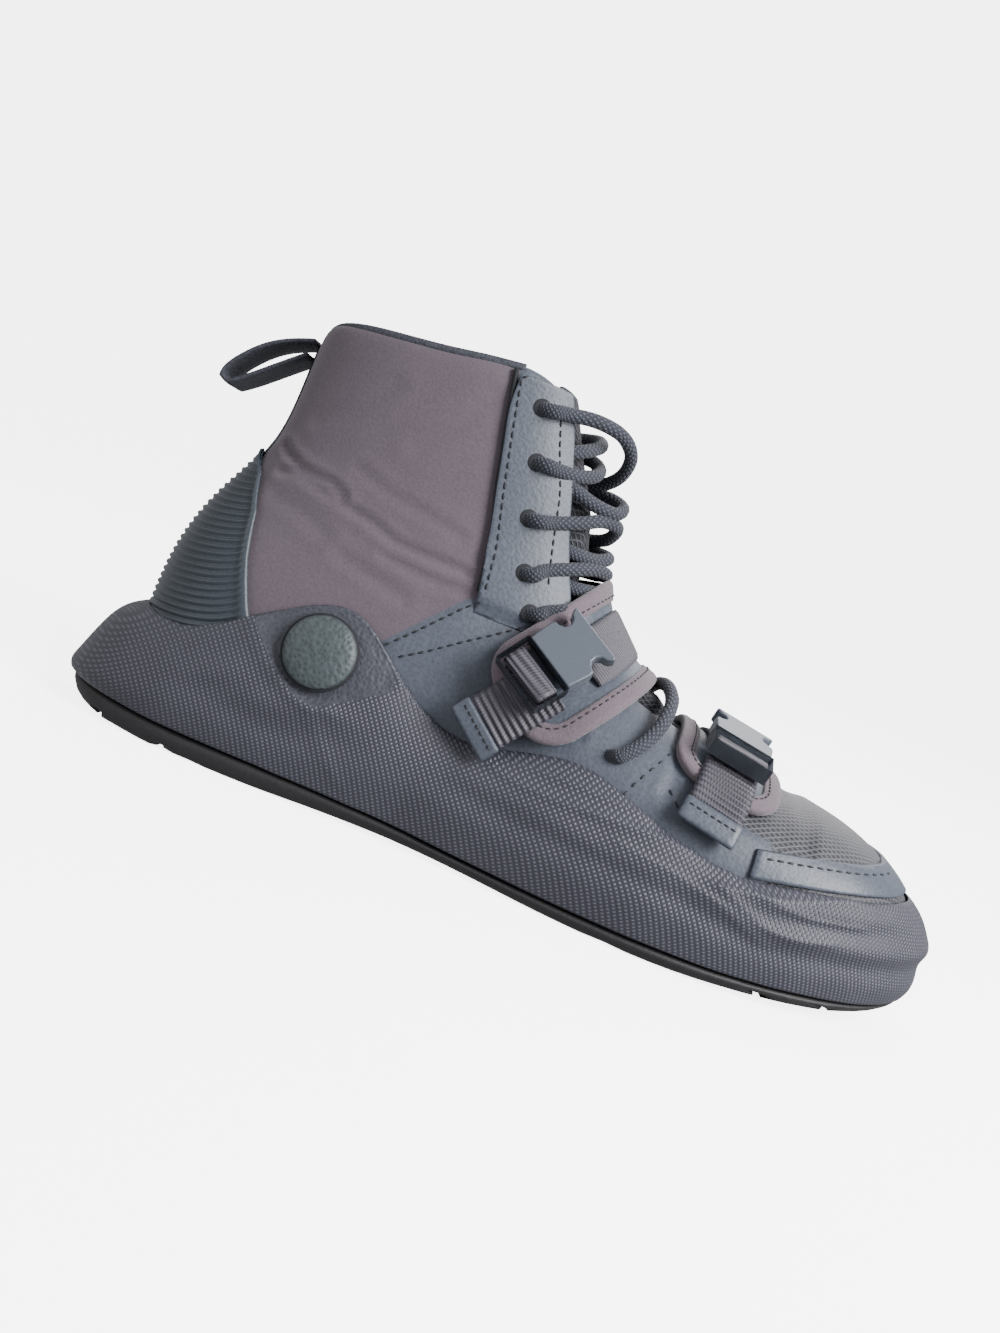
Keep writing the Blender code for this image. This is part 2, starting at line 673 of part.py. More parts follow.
def counter_point(a, b):
    """A point of the counter: a runs lateral edge to medial edge, b from the cup to the tip."""
    out = abs(2.0 * a - 1.0)
    low = 0.262 + 0.078 * out ** 3
    h = low + (0.643 - low) * b
    t = COUNTER_EDGE(h) * out
    side = -1 if a < 0.5 else 1
    back = SHAFT_OF["back"](h)
    turn = math.radians(180.0 - 106.0 * min(t / 0.29, 1.0))
    origin = np.array([(back + 0.105) * LENGTH, 0.0, h * SHAFT_HEIGHT])
    p = reach_form(origin, np.array([math.cos(turn), side * math.sin(turn), 0.0]))
    return p, normal_at(p)


def build_counter():
    """Heel counter with steps across it as ribs and a raised smooth border."""
    def outer(a, b):
        edge = ease((abs(2.0 * a - 1.0) - 0.86) / 0.08)
        rib = 0.5 if int(round(b * 19)) % 2 else 0.0
        return 1.7 + rib * (1.0 - edge) + 0.7 * edge
    return patch_solid("heel_counter", counter_point, 10, 19, SNUG, outer, LEATHER, 0.6, 25.0)


GUARD = table("share low high", [
    (0.00, 34.9, 44.4), (0.22, 38.6, 47.6), (0.45, 41.6, 50.0), (0.70, 43.6, 52.6), (1.00, 44.2, 53.2)])
GUARD_OF = {name: curve(GUARD, "share", name) for name in ("low", "high")}


def guard_point(a, b):
    """A point of the toe guard: a runs lateral round the toe to medial, b from the cup upward."""
    t = 1.0 - abs(2.0 * a - 1.0)
    side = -1 if a < 0.5 else 1
    share = 0.735 + 0.265 * t
    low, high = GUARD_OF["low"](t) + 1.0, GUARD_OF["high"](t)
    turn = math.radians(FAN_TURN(share))
    pitch = math.radians(6.0 + 26.0 * t * b)
    origin = np.array([FAN_ORIGIN(share) * LENGTH - 4.0, 0.0, low + (high - low) * b * (1.0 - 0.9 * t)])
    way = np.array([math.cos(turn) * math.cos(pitch * b), side * math.sin(turn) * math.cos(pitch * b),
                    math.sin(pitch * b)])
    p = reach_form(origin, way)
    return p, normal_at(p)


def build_guard():
    """Leather toe guard: a raised band round the toe above the cup's lip."""
    return patch_solid("toe_guard", guard_point, 24, 3, GAP, 1.6, LEATHER, 0.55)


EYESTAY = table("share rear front", [
    (0.00, 0.340, 0.520), (0.16, 0.402, 0.520), (0.34, 0.412, 0.505), (0.55, 0.400, 0.480),
    (0.78, 0.386, 0.457), (0.93, 0.377, 0.440), (1.00, 0.380, 0.425)])
EYESTAY_OF = {name: curve(EYESTAY, "share", name) for name in ("rear", "front")}


def eyestay_point(side):
    """Surface function of one eyestay: a runs rear to front, b from the quarter up to the collar."""
    def point(a, b):
        h = 0.405 + (0.975 - 0.405) * b
        rear, front = EYESTAY_OF["rear"](b), EYESTAY_OF["front"](b)
        x = (rear + (front - rear) * a) * LENGTH
        depth = 0.10 * LENGTH
        target = np.array([x, side * 0.31 * COLLAR_WIDTH, h * SHAFT_HEIGHT])
        origin = np.array([x - depth * a * 0.8, 0.0, h * SHAFT_HEIGHT - 4.0 * a])
        way = target - origin
        p = reach_form(origin, way / np.linalg.norm(way))
        return p, normal_at(p)
    return point


def build_eyestay(side):
    """Leather eyestay: an overlay from the quarter up to the collar."""
    name = "eyestay_lateral" if side < 0 else "eyestay_medial"
    under = lambda a, b: 1.1 + 0.9 * ease((0.5 - b) / 0.35)
    return patch_solid(name, eyestay_point(side), 4, 9, under, lambda a, b: under(a, b) + 1.2, LEATHER, 0.55)


# Lace holes down the throat, and how far each bar stands out in front of the throat.
HOLES = table("x z bulge", [
    (131.7, 150.2, 13.0), (136.4, 133.2, 12.0), (140.6, 116.4, 11.0), (145.8, 103.3, 13.5)])


def lace_seat(x, z, side, lift):
    """Where a lace leaves its hole, lifted off the eyestay."""
    origin = np.array([x - 22.0, 0.0, z - 3.0])
    way = np.array([x, side * 23.0, z]) - origin
    p = reach_form(origin, way / np.linalg.norm(way))
    return p + normal_at(p) * lift


def tube(name, path, radius, colour, sides=6):
    """A round tube along points, with level ends."""
    rings = []
    pts = [np.array(p, float) for p in path]
    up = np.array([0.0, 0.0, 1.0])
    for i, p in enumerate(pts):
        way = pts[min(i + 1, len(pts) - 1)] - pts[max(i - 1, 0)]
        way = way / np.linalg.norm(way)
        u = up - way * float(np.dot(up, way))
        u = u / np.linalg.norm(u)
        w = np.cross(way, u)
        up = u
        rings.append([p + (u * math.cos(2 * math.pi * k / sides) + w * math.sin(2 * math.pi * k / sides)) * radius
                      for k in range(sides)])
    return ring_solid(name, rings, colour, 0.8, smooth=60.0)


def spline(points, steps):
    """A smooth path through points."""
    pts = [np.array(p, float) for p in points]
    pts = [2 * pts[0] - pts[1]] + pts + [2 * pts[-1] - pts[-2]]
    out = []
    for i in range(1, len(pts) - 2):
        for k in range(steps):
            u = k / steps
            a, b, c, d = pts[i - 1:i + 3]
            out.append(0.5 * (2 * b + (c - a) * u + (2 * a - 5 * b + 4 * c - d) * u * u
                              + (3 * b - a - 3 * c + d) * u ** 3))
    out.append(pts[-2])
    return out


def build_laces():
    """Lace bars down the throat as one joined solid, and the low bar between the straps."""
    lift = 3.2 + LACE / 2.0
    path = []
    for k, row in enumerate(HOLES):
        order = (-1, 1) if k % 2 == 0 else (1, -1)
        near = lace_seat(row["x"], row["z"], order[0], lift)
        far = lace_seat(row["x"], row["z"], order[1], lift)
        x = row["x"] + row["bulge"] + 10.0
        path += [near, (x, near[1] * 0.62, row["z"] + 3.5), (x + 3.0, 0.0, row["z"] + 3.0),
                 (x, far[1] * 0.62, row["z"] + 1.5), far]
    tube("lace_bars", spline(path, 2), LACE / 2.0, WEBBING)
    low = []
    for angle in range(28, 153, 12):
        a = math.radians(angle)
        way = np.array([0.05, -math.cos(a), math.sin(a)])
        p = reach_form(np.array([198.5, 0.0, 38.0]), way / np.linalg.norm(way))
        low.append(p + normal_at(p) * (LACE / 2.0 + 1.0))
    tube("lace_low", low, LACE / 2.0, WEBBING)


def build_disc(side):
    """Domed disc with a ring groove, standing on the wing of the cup."""
    s = 0.295
    z = 50.3 if side < 0 else 46.0
    t = 0.5 * (0.26 + 0.295)
    origin, way, reach, _, edge = cup_heights(t, side)
    column = cup_column(t, side, 24, 2)[0][1:26]
    heights = np.array([p[2] for p in column])
    depth = np.array([abs(p[1]) for p in column])
    y0 = float(np.interp(z - 11.0, heights, depth))
    y1 = float(np.interp(z + 11.0, heights, depth))
    lean = math.atan2(y0 - y1, 22.0)
    out = np.array([0.0, side * math.cos(lean), math.sin(lean)])
    up = np.array([0.0, -side * math.sin(lean), math.cos(lean)])
    along = np.array([1.0, 0.0, 0.0])
    deepest = max(float(np.interp(z + k, heights, depth)) - ((y0 + y1) / 2.0 - k * math.tan(lean))
                  for k in np.linspace(-11.0, 11.0, 12))
    centre = np.array([s * LENGTH, side * ((y0 + y1) / 2.0), z]) + out * (max(deepest, 0.0) + GAP + 0.5)
    rings = []
    for radius, lift in ((12.2, 0.0), (12.4, 1.2), (11.4, 2.0), (10.4, 1.5), (9.4, 2.2), (5.0, 3.0)):
        ring = []
        for i in range(16):
            a = 2.0 * math.pi * i / 16
            ring.append(centre + along * radius * math.cos(a) + up * radius * math.sin(a) + out * lift)
        rings.append(ring)
    name = "disc_lateral" if side < 0 else "disc_medial"
    return ring_solid(name, rings, LEATHER, 0.6)


class Strap:
    """One strap: a tilted band over the foot, with its axis, width and reach down each side."""

    def __init__(self, name, axis, tilt, width, lateral, medial, shift, lift, seat):
        self.name = name
        self.axis = np.array([axis[0], 0.0, axis[1]])
        self.along = np.array([math.cos(math.radians(tilt)), 0.0, -math.sin(math.radians(tilt))])
        self.up = np.array([math.sin(math.radians(tilt)), 0.0, math.cos(math.radians(tilt))])
        self.width = width
        self.shift = shift
        self.lift = lift
        self.seat = seat
        self.lateral = lateral
        self.medial = medial

    def at(self, across, angle):
        """Surface point and normal at a distance across the band and an angle up from the lateral side."""
        a = math.radians(angle)
        way = np.array([0.0, -1.0, 0.0]) * math.cos(a) + self.up * math.sin(a)
        p = reach_form(self.axis + self.along * across, way)
        n = normal_at(p)
        return p, n

    def band(self, suffix, start, stop, width, low, high, colour, rough, nu=4, nv=24, round_end=0.0, shift=0.0):
        """A band of this strap between two angles and two offsets, its ends rounded when asked."""
        def point(a, b):
            angle = start + (stop - start) * b
            pull = 1.0
            if round_end > 0.0:
                e = min(b, 1.0 - b) / round_end
                pull = 0.72 + 0.28 * math.sqrt(1.0 - (1.0 - min(e, 1.0)) ** 2)
            return self.at((a - 0.5) * width * pull + shift, angle)
        return patch_solid(self.name + suffix, point, nu, nv, low, high, colour, rough)


def hull_box(name, frame, size, taper, colour, rough, layers):
    """A moulded part in a local frame: rings of a rounded rectangle stacked along the out direction."""
    centre, along, down, out = frame
    rings = []
    for lift, grow in layers:
        ring = []
        for i in range(20):
            a = 2.0 * math.pi * i / 20
            c, s = math.cos(a), math.sin(a)
            u = math.copysign(abs(c) ** 0.35, c) * (size[0] / 2.0 + grow)
            v = math.copysign(abs(s) ** 0.35, s) * (size[1] / 2.0 + grow)
            u *= 1.0 - taper * (v / size[1] + 0.5)
            ring.append(centre + along * u + down * v + out * lift)
        rings.append(ring)
    return ring_solid(name, rings, colour, rough)


def build_buckle(strap, angle, base, shift=0.0):
    """Side-release buckle: plug above, socket below, on the outside of the strap's webbing."""
    p, n = strap.at(shift, angle)
    q, _ = strap.at(shift, angle + 2.0)
    down = p - q
    down = down - n * float(np.dot(down, n))
    down = down / np.linalg.norm(down)
    along = np.cross(down, n)
    along = along / np.linalg.norm(along)
    layers = ((0.0, -0.8), (1.0, 0.0), (4.6, 0.0), (5.8, -0.9), (6.2, -2.2))
    seam = p + n * base
    hull_box(strap.name + "_buckle_plug", (seam - down * 9.2, along, down, n), (22.0, 17.6), -0.08, PLASTIC, 0.35,
             layers)
    hull_box(strap.name + "_buckle_socket", (seam + down * 6.6, along, down, n), (22.0, 12.6), 0.06, PLASTIC, 0.3,
             layers)


def build_strap(strap, buckle_angle, anchor_angle):
    """Pad, webbing over it, buckle, and the tail of webbing with its leather tab by the sole."""
    low = strap.lift
    strap.band("_pad", strap.lateral, strap.medial, strap.width, low, low + 2.6, SUEDE, 0.85, nu=4, nv=16,
               round_end=0.10, shift=strap.shift)
    strap.band("_webbing", buckle_angle + 14.0, strap.medial - 6.0, 19.0, low + 3.2, low + 4.6, WEBBING, 0.8,
               nu=1, nv=16)
    strap.band("_tail", anchor_angle + 9.5, buckle_angle - 5.0, 19.0, low + 3.3, low + 4.8, WEBBING, 0.8, nu=1, nv=8)
    strap.band("_tab", anchor_angle, anchor_angle + 9.0, 21.0, low + 2.9, low + 5.3, LEATHER, 0.55, nu=2, nv=2)
    build_buckle(strap, buckle_angle, low + strap.seat)


def build_loop():
    """Pull loop: one webbing strip folded back on itself behind the collar."""
    path = [(48.0, 147.2), (40.8, 145.0), (31.8, 140.6), (24.3, 133.2), (20.2, 127.6), (20.0, 124.6), (22.8, 123.0),
            (27.6, 126.2), (34.2, 131.6), (41.2, 137.4), (47.0, 142.0)]
    half = 8.5
    thick = 1.5
    outer, inner = [], []
    for i, (x, z) in enumerate(path):
        x0, z0 = path[max(i - 1, 0)]
        x1, z1 = path[min(i + 1, len(path) - 1)]
        size = math.hypot(x1 - x0, z1 - z0)
        nx, nz = (z1 - z0) / size, -(x1 - x0) / size
        outer.append((x - nx * thick / 2, z - nz * thick / 2))
        inner.append((x + nx * thick / 2, z + nz * thick / 2))
    rings = []
    for (xo, zo), (xi, zi) in zip(outer, inner):
        rings.append([(xo, -half, zo), (xo, half, zo), (xi, half, zi), (xi, -half, zi)])
    shift = SHAFT_OF["back"](0.88) * LENGTH - 48.0 - 0.8
    rings = [[(x + shift, y, z) for x, y, z in ring] for ring in rings]
    return ring_solid("pull_loop", rings, WEBBING, 0.8)


def build():
    """Every piece of the shoe."""
    build_midsole()
    build_outsole()
    build_upper()
    build_insole()
    build_tongue()
    build_counter()
    build_guard()
    for side in (-1, 1):
        build_disc(side)
    instep = Strap("instep", (152.5, 52.0), 38.0, 38.0, 8.0, 176.0, 1.5, 4.1, 5.8)
    forefoot = Strap("forefoot", (226.0, 36.0), 12.0, 38.0, 26.0, 154.0, 0.0, 0.9, 5.4)
    build_strap(instep, 34.0, -12.0)
    build_strap(forefoot, 50.0, 9.0)
    for side in (-1, 1):
        build_eyestay(side)
    build_laces()
    build_loop()


build()
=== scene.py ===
"""Looks of the high-top sneaker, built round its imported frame."""
import json
import logging
import math
from dataclasses import dataclass
from enum import Enum
from typing import Callable, Optional, Sequence

import bmesh
import bpy
import numpy as np
from mathutils import Matrix, Vector
from mathutils.bvhtree import BVHTree

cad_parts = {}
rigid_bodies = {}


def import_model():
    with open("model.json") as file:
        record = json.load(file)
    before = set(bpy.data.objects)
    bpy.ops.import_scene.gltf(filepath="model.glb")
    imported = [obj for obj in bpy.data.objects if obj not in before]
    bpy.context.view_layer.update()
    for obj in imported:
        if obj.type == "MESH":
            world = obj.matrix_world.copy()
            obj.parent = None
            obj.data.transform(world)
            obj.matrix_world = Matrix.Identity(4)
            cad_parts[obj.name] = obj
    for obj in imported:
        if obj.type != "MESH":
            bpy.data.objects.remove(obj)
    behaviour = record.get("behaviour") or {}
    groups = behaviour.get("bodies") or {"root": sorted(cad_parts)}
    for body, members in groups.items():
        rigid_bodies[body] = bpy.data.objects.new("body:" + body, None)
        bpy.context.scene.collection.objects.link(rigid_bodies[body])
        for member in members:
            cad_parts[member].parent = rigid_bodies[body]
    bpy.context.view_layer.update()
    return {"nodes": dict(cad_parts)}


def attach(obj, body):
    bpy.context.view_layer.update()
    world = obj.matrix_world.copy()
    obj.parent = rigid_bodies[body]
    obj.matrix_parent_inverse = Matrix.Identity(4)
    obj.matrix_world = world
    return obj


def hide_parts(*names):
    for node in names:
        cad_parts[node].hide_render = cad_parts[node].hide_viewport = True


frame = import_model()
LOG = logging.getLogger("sneaker")

MM = 0.001
# The shoe's own sizes are millimetres from the heel tip, the middle line and the ground.
HEEL_TO_MIDDLE = 160.57
SIDE_SHIFT = 1.1
LENGTH = 320.0
HEIGHT = 162.0
REACH_UP = 170.0
LACE = 4.8
Spot = tuple[float, float]
Place = Callable[[float, float], Vector]


class Side(Enum):
    """The two sides of the shoe, with the sign of Y on each."""

    LATERAL = -1
    MEDIAL = 1


class Pattern(Enum):
    """What a finish shows close up."""

    FOAM_WEAVE = "moulded foam with fine slanted ribs"
    KNIT = "smooth stretch fabric"
    LEATHER = "fine leather grain"
    MESH = "open air mesh"
    SUEDE = "brushed nap"
    WEBBING = "woven webbing"
    CORD = "braided cord"
    PLASTIC = "moulded plastic"
    RUBBER = "moulded rubber"


def at(x: float, y: float, z: float) -> Vector:
    """A point of the frame from the shoe's own millimetres."""
    return Vector(((x - HEEL_TO_MIDDLE) * MM, (y - SIDE_SHIFT) * MM, z * MM))


def linear(code: str) -> tuple[float, float, float, float]:
    """Turn an sRGB hex colour to linear values.

    Args:
        code: Six hex digits.

    Returns:
        Red, green, blue and full alpha.
    """
    parts = [int(code[i:i + 2], 16) / 255.0 for i in (0, 2, 4)]
    red, green, blue = (c / 12.92 if c <= 0.04045 else ((c + 0.055) / 1.055) ** 2.4 for c in parts)
    return red, green, blue, 1.0


def node(tree: bpy.types.NodeTree, kind: str, inputs: Optional[dict] = None, **settings) -> bpy.types.Node:
    """Add a node with its settings and links.

    Args:
        tree: The material's node tree.
        kind: Blender's name of the node.
        inputs: Sockets by name or number, each with a constant or the socket that feeds it.
        settings: The node's own properties.

    Returns:
        The new node.
    """
    new = tree.nodes.new(kind)
    for key, value in settings.items():
        setattr(new, key, value)
    for key, value in (inputs or {}).items():
        if isinstance(value, bpy.types.NodeSocket):
            tree.links.new(value, new.inputs[key])
        else:
            new.inputs[key].default_value = value
    return new


@dataclass(frozen=True)
class Finish:
    """One real material: its two tones, gloss and the size of its pattern in millimetres."""

    name: str
    colour: str
    second: str
    roughness: float
    pattern: Pattern
    pitch: float
    relief: float
    sheen: float = 0.0
    tone: float = 0.25

    def waves(self, tree: bpy.types.NodeTree, co: bpy.types.NodeSocket, period: float,
              stretches: Sequence[tuple[float, float, float]]) -> list[bpy.types.NodeSocket]:
        """Slanted bands across the surface, one set for each stretch of the coordinates."""
        out = []
        for stretch in stretches:
            turned = node(tree, "ShaderNodeMapping", {"Vector": co, "Scale": stretch})
            wave = node(tree, "ShaderNodeTexWave", {"Vector": turned.outputs[0], "Scale": 0.628 / period},
                        bands_direction="DIAGONAL")
            out.append(wave.outputs["Fac"])
        return out

    def surface(self, tree: bpy.types.NodeTree) -> tuple[bpy.types.NodeSocket, bpy.types.NodeSocket]:
        """Nodes of the pattern.

        Args:
            tree: The material's node tree.

        Returns:
            The colour socket and the height socket.
        """
        coords = node(tree, "ShaderNodeTexCoord")
        laid = self.pattern in (Pattern.WEBBING, Pattern.CORD)
        co = coords.outputs["UV" if laid else "Object"]
        period = self.pitch * (1.0 if laid else MM)
        cloud = node(tree, "ShaderNodeTexNoise", {
            "Vector": coords.outputs["Object"], "Scale": 1.0 / (14.0 * MM), "Detail": 4.0}).outputs["Fac"]
        if self.pattern is Pattern.FOAM_WEAVE:
            one, two = self.waves(tree, co, period * 1.41, ((1, 0.75, 0.62), (1, 0.75, -1.25)))
            height = node(tree, "ShaderNodeMath", {0: one, 1: two}, operation="MULTIPLY").outputs[0]
        elif self.pattern is Pattern.MESH:
            one, two = self.waves(tree, co, period * 1.41, ((1.0, 1.3, 0.9), (1.0, -1.3, -0.9)))
            lattice = node(tree, "ShaderNodeMath", {0: one, 1: two}, operation="MAXIMUM").outputs[0]
            height = node(tree, "ShaderNodeMath", {0: lattice, 1: 4.0}, operation="POWER").outputs[0]
        elif self.pattern is Pattern.WEBBING:
            one, two = self.waves(tree, co, period, ((0.06, 1, 0), (2.2, 0.5, 0)))
            height = node(tree, "ShaderNodeMath", {0: two, 1: 0.3, 2: one}, operation="MULTIPLY_ADD").outputs[0]
        elif self.pattern is Pattern.CORD:
            one, two = self.waves(tree, co, period, ((1.0, 1.0, 0), (1.0, -1.0, 0)))
            height = node(tree, "ShaderNodeMath", {0: one, 1: two}, operation="MULTIPLY").outputs[0]
        elif self.pattern is Pattern.LEATHER:
            grain = node(tree, "ShaderNodeTexVoronoi", {"Vector": co, "Scale": 1.0 / period},
                         feature="SMOOTH_F1")
            height = grain.outputs["Distance"]
        else:
            grain = node(tree, "ShaderNodeTexNoise", {"Vector": co, "Scale": 1.0 / period, "Detail": 3.0})
            height = grain.outputs["Fac"]
        # The colour follows the pattern's height as well as a slow cloud; on the ribbed foam this paints the crests
        # paler, partly a painted highlight where light grazes them.
        tone = node(tree, "ShaderNodeMath", {0: cloud, 1: self.tone, 2: height}, operation="MULTIPLY_ADD")
        share = node(tree, "ShaderNodeMapRange", {0: tone.outputs[0], 1: 0.1, 2: 0.75 + self.tone})
        mix = node(tree, "ShaderNodeMix", {0: share.outputs[0], 6: linear(self.colour), 7: linear(self.second)},
                   data_type="RGBA")
        return mix.outputs[2], height

    def close(self, mat: bpy.types.Material, colour: bpy.types.NodeSocket,
              height: bpy.types.NodeSocket) -> bpy.types.Material:
        """Feed the shader of a material with a colour and a height, and set its constants."""
        tree = mat.node_tree
        shader = tree.nodes["Principled BSDF"]
        shader.inputs["Roughness"].default_value = self.roughness
        shader.inputs["Sheen Weight"].default_value = self.sheen
        shader.inputs["Sheen Roughness"].default_value = 0.5
        tree.links.new(colour, shader.inputs["Base Color"])
        bump = node(tree, "ShaderNodeBump", {"Height": height, "Distance": self.relief * MM, "Strength": 1.0})
        tree.links.new(bump.outputs[0], shader.inputs["Normal"])
        return mat

    def make(self) -> bpy.types.Material:
        """The finished material, made once."""
        mat = bpy.data.materials.get(self.name)
        if mat is None:
            mat = bpy.data.materials.new(self.name)
            mat.use_nodes = True
            self.close(mat, *self.surface(mat.node_tree))
        return mat


# Injection moulded EVA foam: a matt skin whose rib texture catches light on every slope; its rib crests are also
# coloured paler than the hollows, partly real tone and partly a painted highlight.
FOAM = Finish("moulded_eva_foam", "31313B", "55555F", 0.48, Pattern.FOAM_WEAVE, 1.35, 0.28)
# The foam's smooth panel round the disc: the same skin with a leather-like grain.
PANEL = Finish("grained_eva_foam", "33343D", "44464F", 0.5, Pattern.LEATHER, 1.2, 0.14)
# Moulded rubber of the outsole: near black and dry.
RUBBER = Finish("moulded_outsole_rubber", "141316", "242326", 0.62, Pattern.RUBBER, 1.2, 0.15)
# Stretch knit over foam: soft mauve cloth with a faint sheen.
KNIT = Finish("bonded_stretch_knit", "493F48", "5F545D", 0.85, Pattern.KNIT, 0.9, 0.10, sheen=0.2)
# Smooth full grain leather, dyed blue grey: low gloss with fine pores.
LEATHER = Finish("full_grain_leather", "3C414C", "4E5460", 0.46, Pattern.LEATHER, 1.1, 0.10)
# Open mesh cloth: black ground with raised lighter threads, drawn coarser than life to show.
MESH = Finish("open_air_mesh", "0B0B0F", "4A4A53", 0.8, Pattern.MESH, 2.3, 0.6)
# Brushed suede binding: cloudy mauve nap.
SUEDE = Finish("brushed_suede", "4E444B", "71656D", 0.95, Pattern.SUEDE, 0.8, 0.22, sheen=0.25, tone=0.6)
# Woven nylon webbing: ribs across the strap.
WEBBING = Finish("woven_nylon_webbing", "1B1A20", "4D4A54", 0.55, Pattern.WEBBING, 2.3, 0.2)
# The plain top webbing: fine weave and paler.
FINE_WEBBING = Finish("fine_nylon_webbing", "3C3A41", "5B5860", 0.7, Pattern.WEBBING, 1.1, 0.18)
# Round polyester cord: braided strands that cross on the slant, drawn coarser than life to show.
CORD = Finish("braided_polyester_cord", "1B1E27", "4E5160", 0.8, Pattern.CORD, 1.9, 0.4, sheen=0.1)
# Acetal buckle: satin grey with a very fine spark texture.
ACETAL = Finish("moulded_acetal", "4A5058", "565C66", 0.34, Pattern.PLASTIC, 0.5, 0.03)
# Thermoplastic counter: blue grey, satin.
COUNTER = Finish("moulded_tpu_counter", "272D34", "3C444C", 0.42, Pattern.PLASTIC, 0.7, 0.06)
# Rubber disc with a leather-like grain.
DISC = Finish("grained_rubber_disc", "30373A", "495154", 0.5, Pattern.LEATHER, 1.3, 0.3)
# Navy lining cloth.
LINING = Finish("brushed_lining_cloth", "1A1C28", "272A39", 0.9, Pattern.KNIT, 0.9, 0.15)
# Narrow twill tape of the collar's edge, back seam and pull loop: near black with paler flecks.
TAPE = Finish("narrow_twill_tape", "15161B", "41434D", 0.75, Pattern.KNIT, 1.1, 0.4, tone=0.1)
# Bonded sewing thread, near black.
THREAD = Finish("bonded_sewing_thread", "101116", "22232A", 0.6, Pattern.KNIT, 0.8, 0.05)
# Dark folded edges, and painted shade: the same near black stands for the shade in the lace holes and in the groove
# round each disc.
DARK_EDGE_AND_SHADE = Finish("cut_leather_edge", "101116", "1B1C22", 0.8, Pattern.RUBBER, 1.0, 0.05)


def adopt(obj: bpy.types.Object, finish: Optional[Finish], slot: str, *nodes: str) -> bpy.types.Object:
    """Dress a piece, and make it ride and stand for its nodes.

    Args:
        obj: The finished piece.
        finish: Its finish, or none where it is dressed already.
        slot: The record's material slot; not used.
        nodes: CAD nodes that it replaces.

    Returns:
        The same piece.
    """
    if finish is not None:
        obj.data.materials.clear()
        obj.data.materials.append(finish.make())
    obj.data.shade_smooth()
    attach(obj, "root")
    if nodes:
        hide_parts(*nodes)
    LOG.info("%s: %d faces", obj.name, len(obj.data.polygons))
    return obj


def add_object(name: str, bm: bmesh.types.BMesh) -> bpy.types.Object:
    """A new object from a bmesh, which is freed."""
    mesh = bpy.data.meshes.new(name)
    bm.to_mesh(mesh)
    bm.free()
    obj = bpy.data.objects.new(name, mesh)
    bpy.context.scene.collection.objects.link(obj)
    return obj


# Middle of the hollow from the collar down and along to the toe.
HOLLOW = [(92.0, 175.0), (94.0, 90.0), (108.0, 56.0), (150.0, 42.0), (205.0, 38.0), (285.0, 33.0)]


def hollow_at(co: Vector) -> Vector:
    """Nearest point of the hollow's middle line to a point of the frame."""
    best, found = 1e9, co
    for (x0, z0), (x1, z1) in zip(HOLLOW[:-1], HOLLOW[1:]):
        a, b = at(x0, 0.0, z0), at(x1, 0.0, z1)
        share = min(max((co - a).dot(b - a) / (b - a).length_squared, 0.0), 1.0)
        point = a.lerp(b, share)
        if (co - point).length < best:
            best, found = (co - point).length, point
    return found


def face_out(bm: bmesh.types.BMesh) -> None:
    """Turn an open patch so that its faces look away from the shoe's hollow."""
    bmesh.ops.recalc_face_normals(bm, faces=bm.faces)
    total = sum(f.normal.dot((f.calc_center_median() - hollow_at(f.calc_center_median())).normalized())
                for f in bm.faces)
    if total < 0.0:
        bmesh.ops.reverse_faces(bm, faces=bm.faces)


def mapped(name: str, across: int, along: int, place: Place, size: Spot = (1.0, 1.0), wall: float = 0.0,
           closed: bool = False, levels: int = 0) -> bpy.types.Object:
    """A grid laid on the shoe, with its UV in millimetres.

    Args:
        name: Name of the piece.
        across: Faces over its width.
        along: Faces over its length.
        place: Where a point of the grid goes, from its two shares.
        size: Width and length in millimetres, for the UV.
        wall: Thickness in millimetres, inwards; zero leaves it as it is.
        closed: Whether it rolls up to a tube whose ends are filled.
        levels: Subdivision levels.

    Returns:
        The new object.
    """
    bm = bmesh.new()
    uv = bm.loops.layers.uv.new("UVMap")
    bmesh.ops.create_grid(bm, x_segments=across, y_segments=along, size=0.5, calc_uvs=True)
    for face in bm.faces:
        for loop in face.loops:
            loop[uv].uv = (loop[uv].uv[0] * size[0], loop[uv].uv[1] * size[1])
    for vert in bm.verts:
        vert.co = place(vert.co.x + 0.5, vert.co.y + 0.5)
    if closed:
        bmesh.ops.remove_doubles(bm, verts=bm.verts, dist=0.000002)
        bmesh.ops.holes_fill(bm, edges=[e for e in bm.edges if e.is_boundary], sides=0)
        bmesh.ops.recalc_face_normals(bm, faces=bm.faces)
    else:
        face_out(bm)
    obj = add_object(name, bm)
    if wall > 0.0:
        mod = obj.modifiers.new("wall", "SOLIDIFY")
        mod.thickness = wall * MM
        mod.offset = -1.0
    if levels > 0:
        mod = obj.modifiers.new("smooth", "SUBSURF")
        mod.levels = mod.render_levels = levels
    return obj


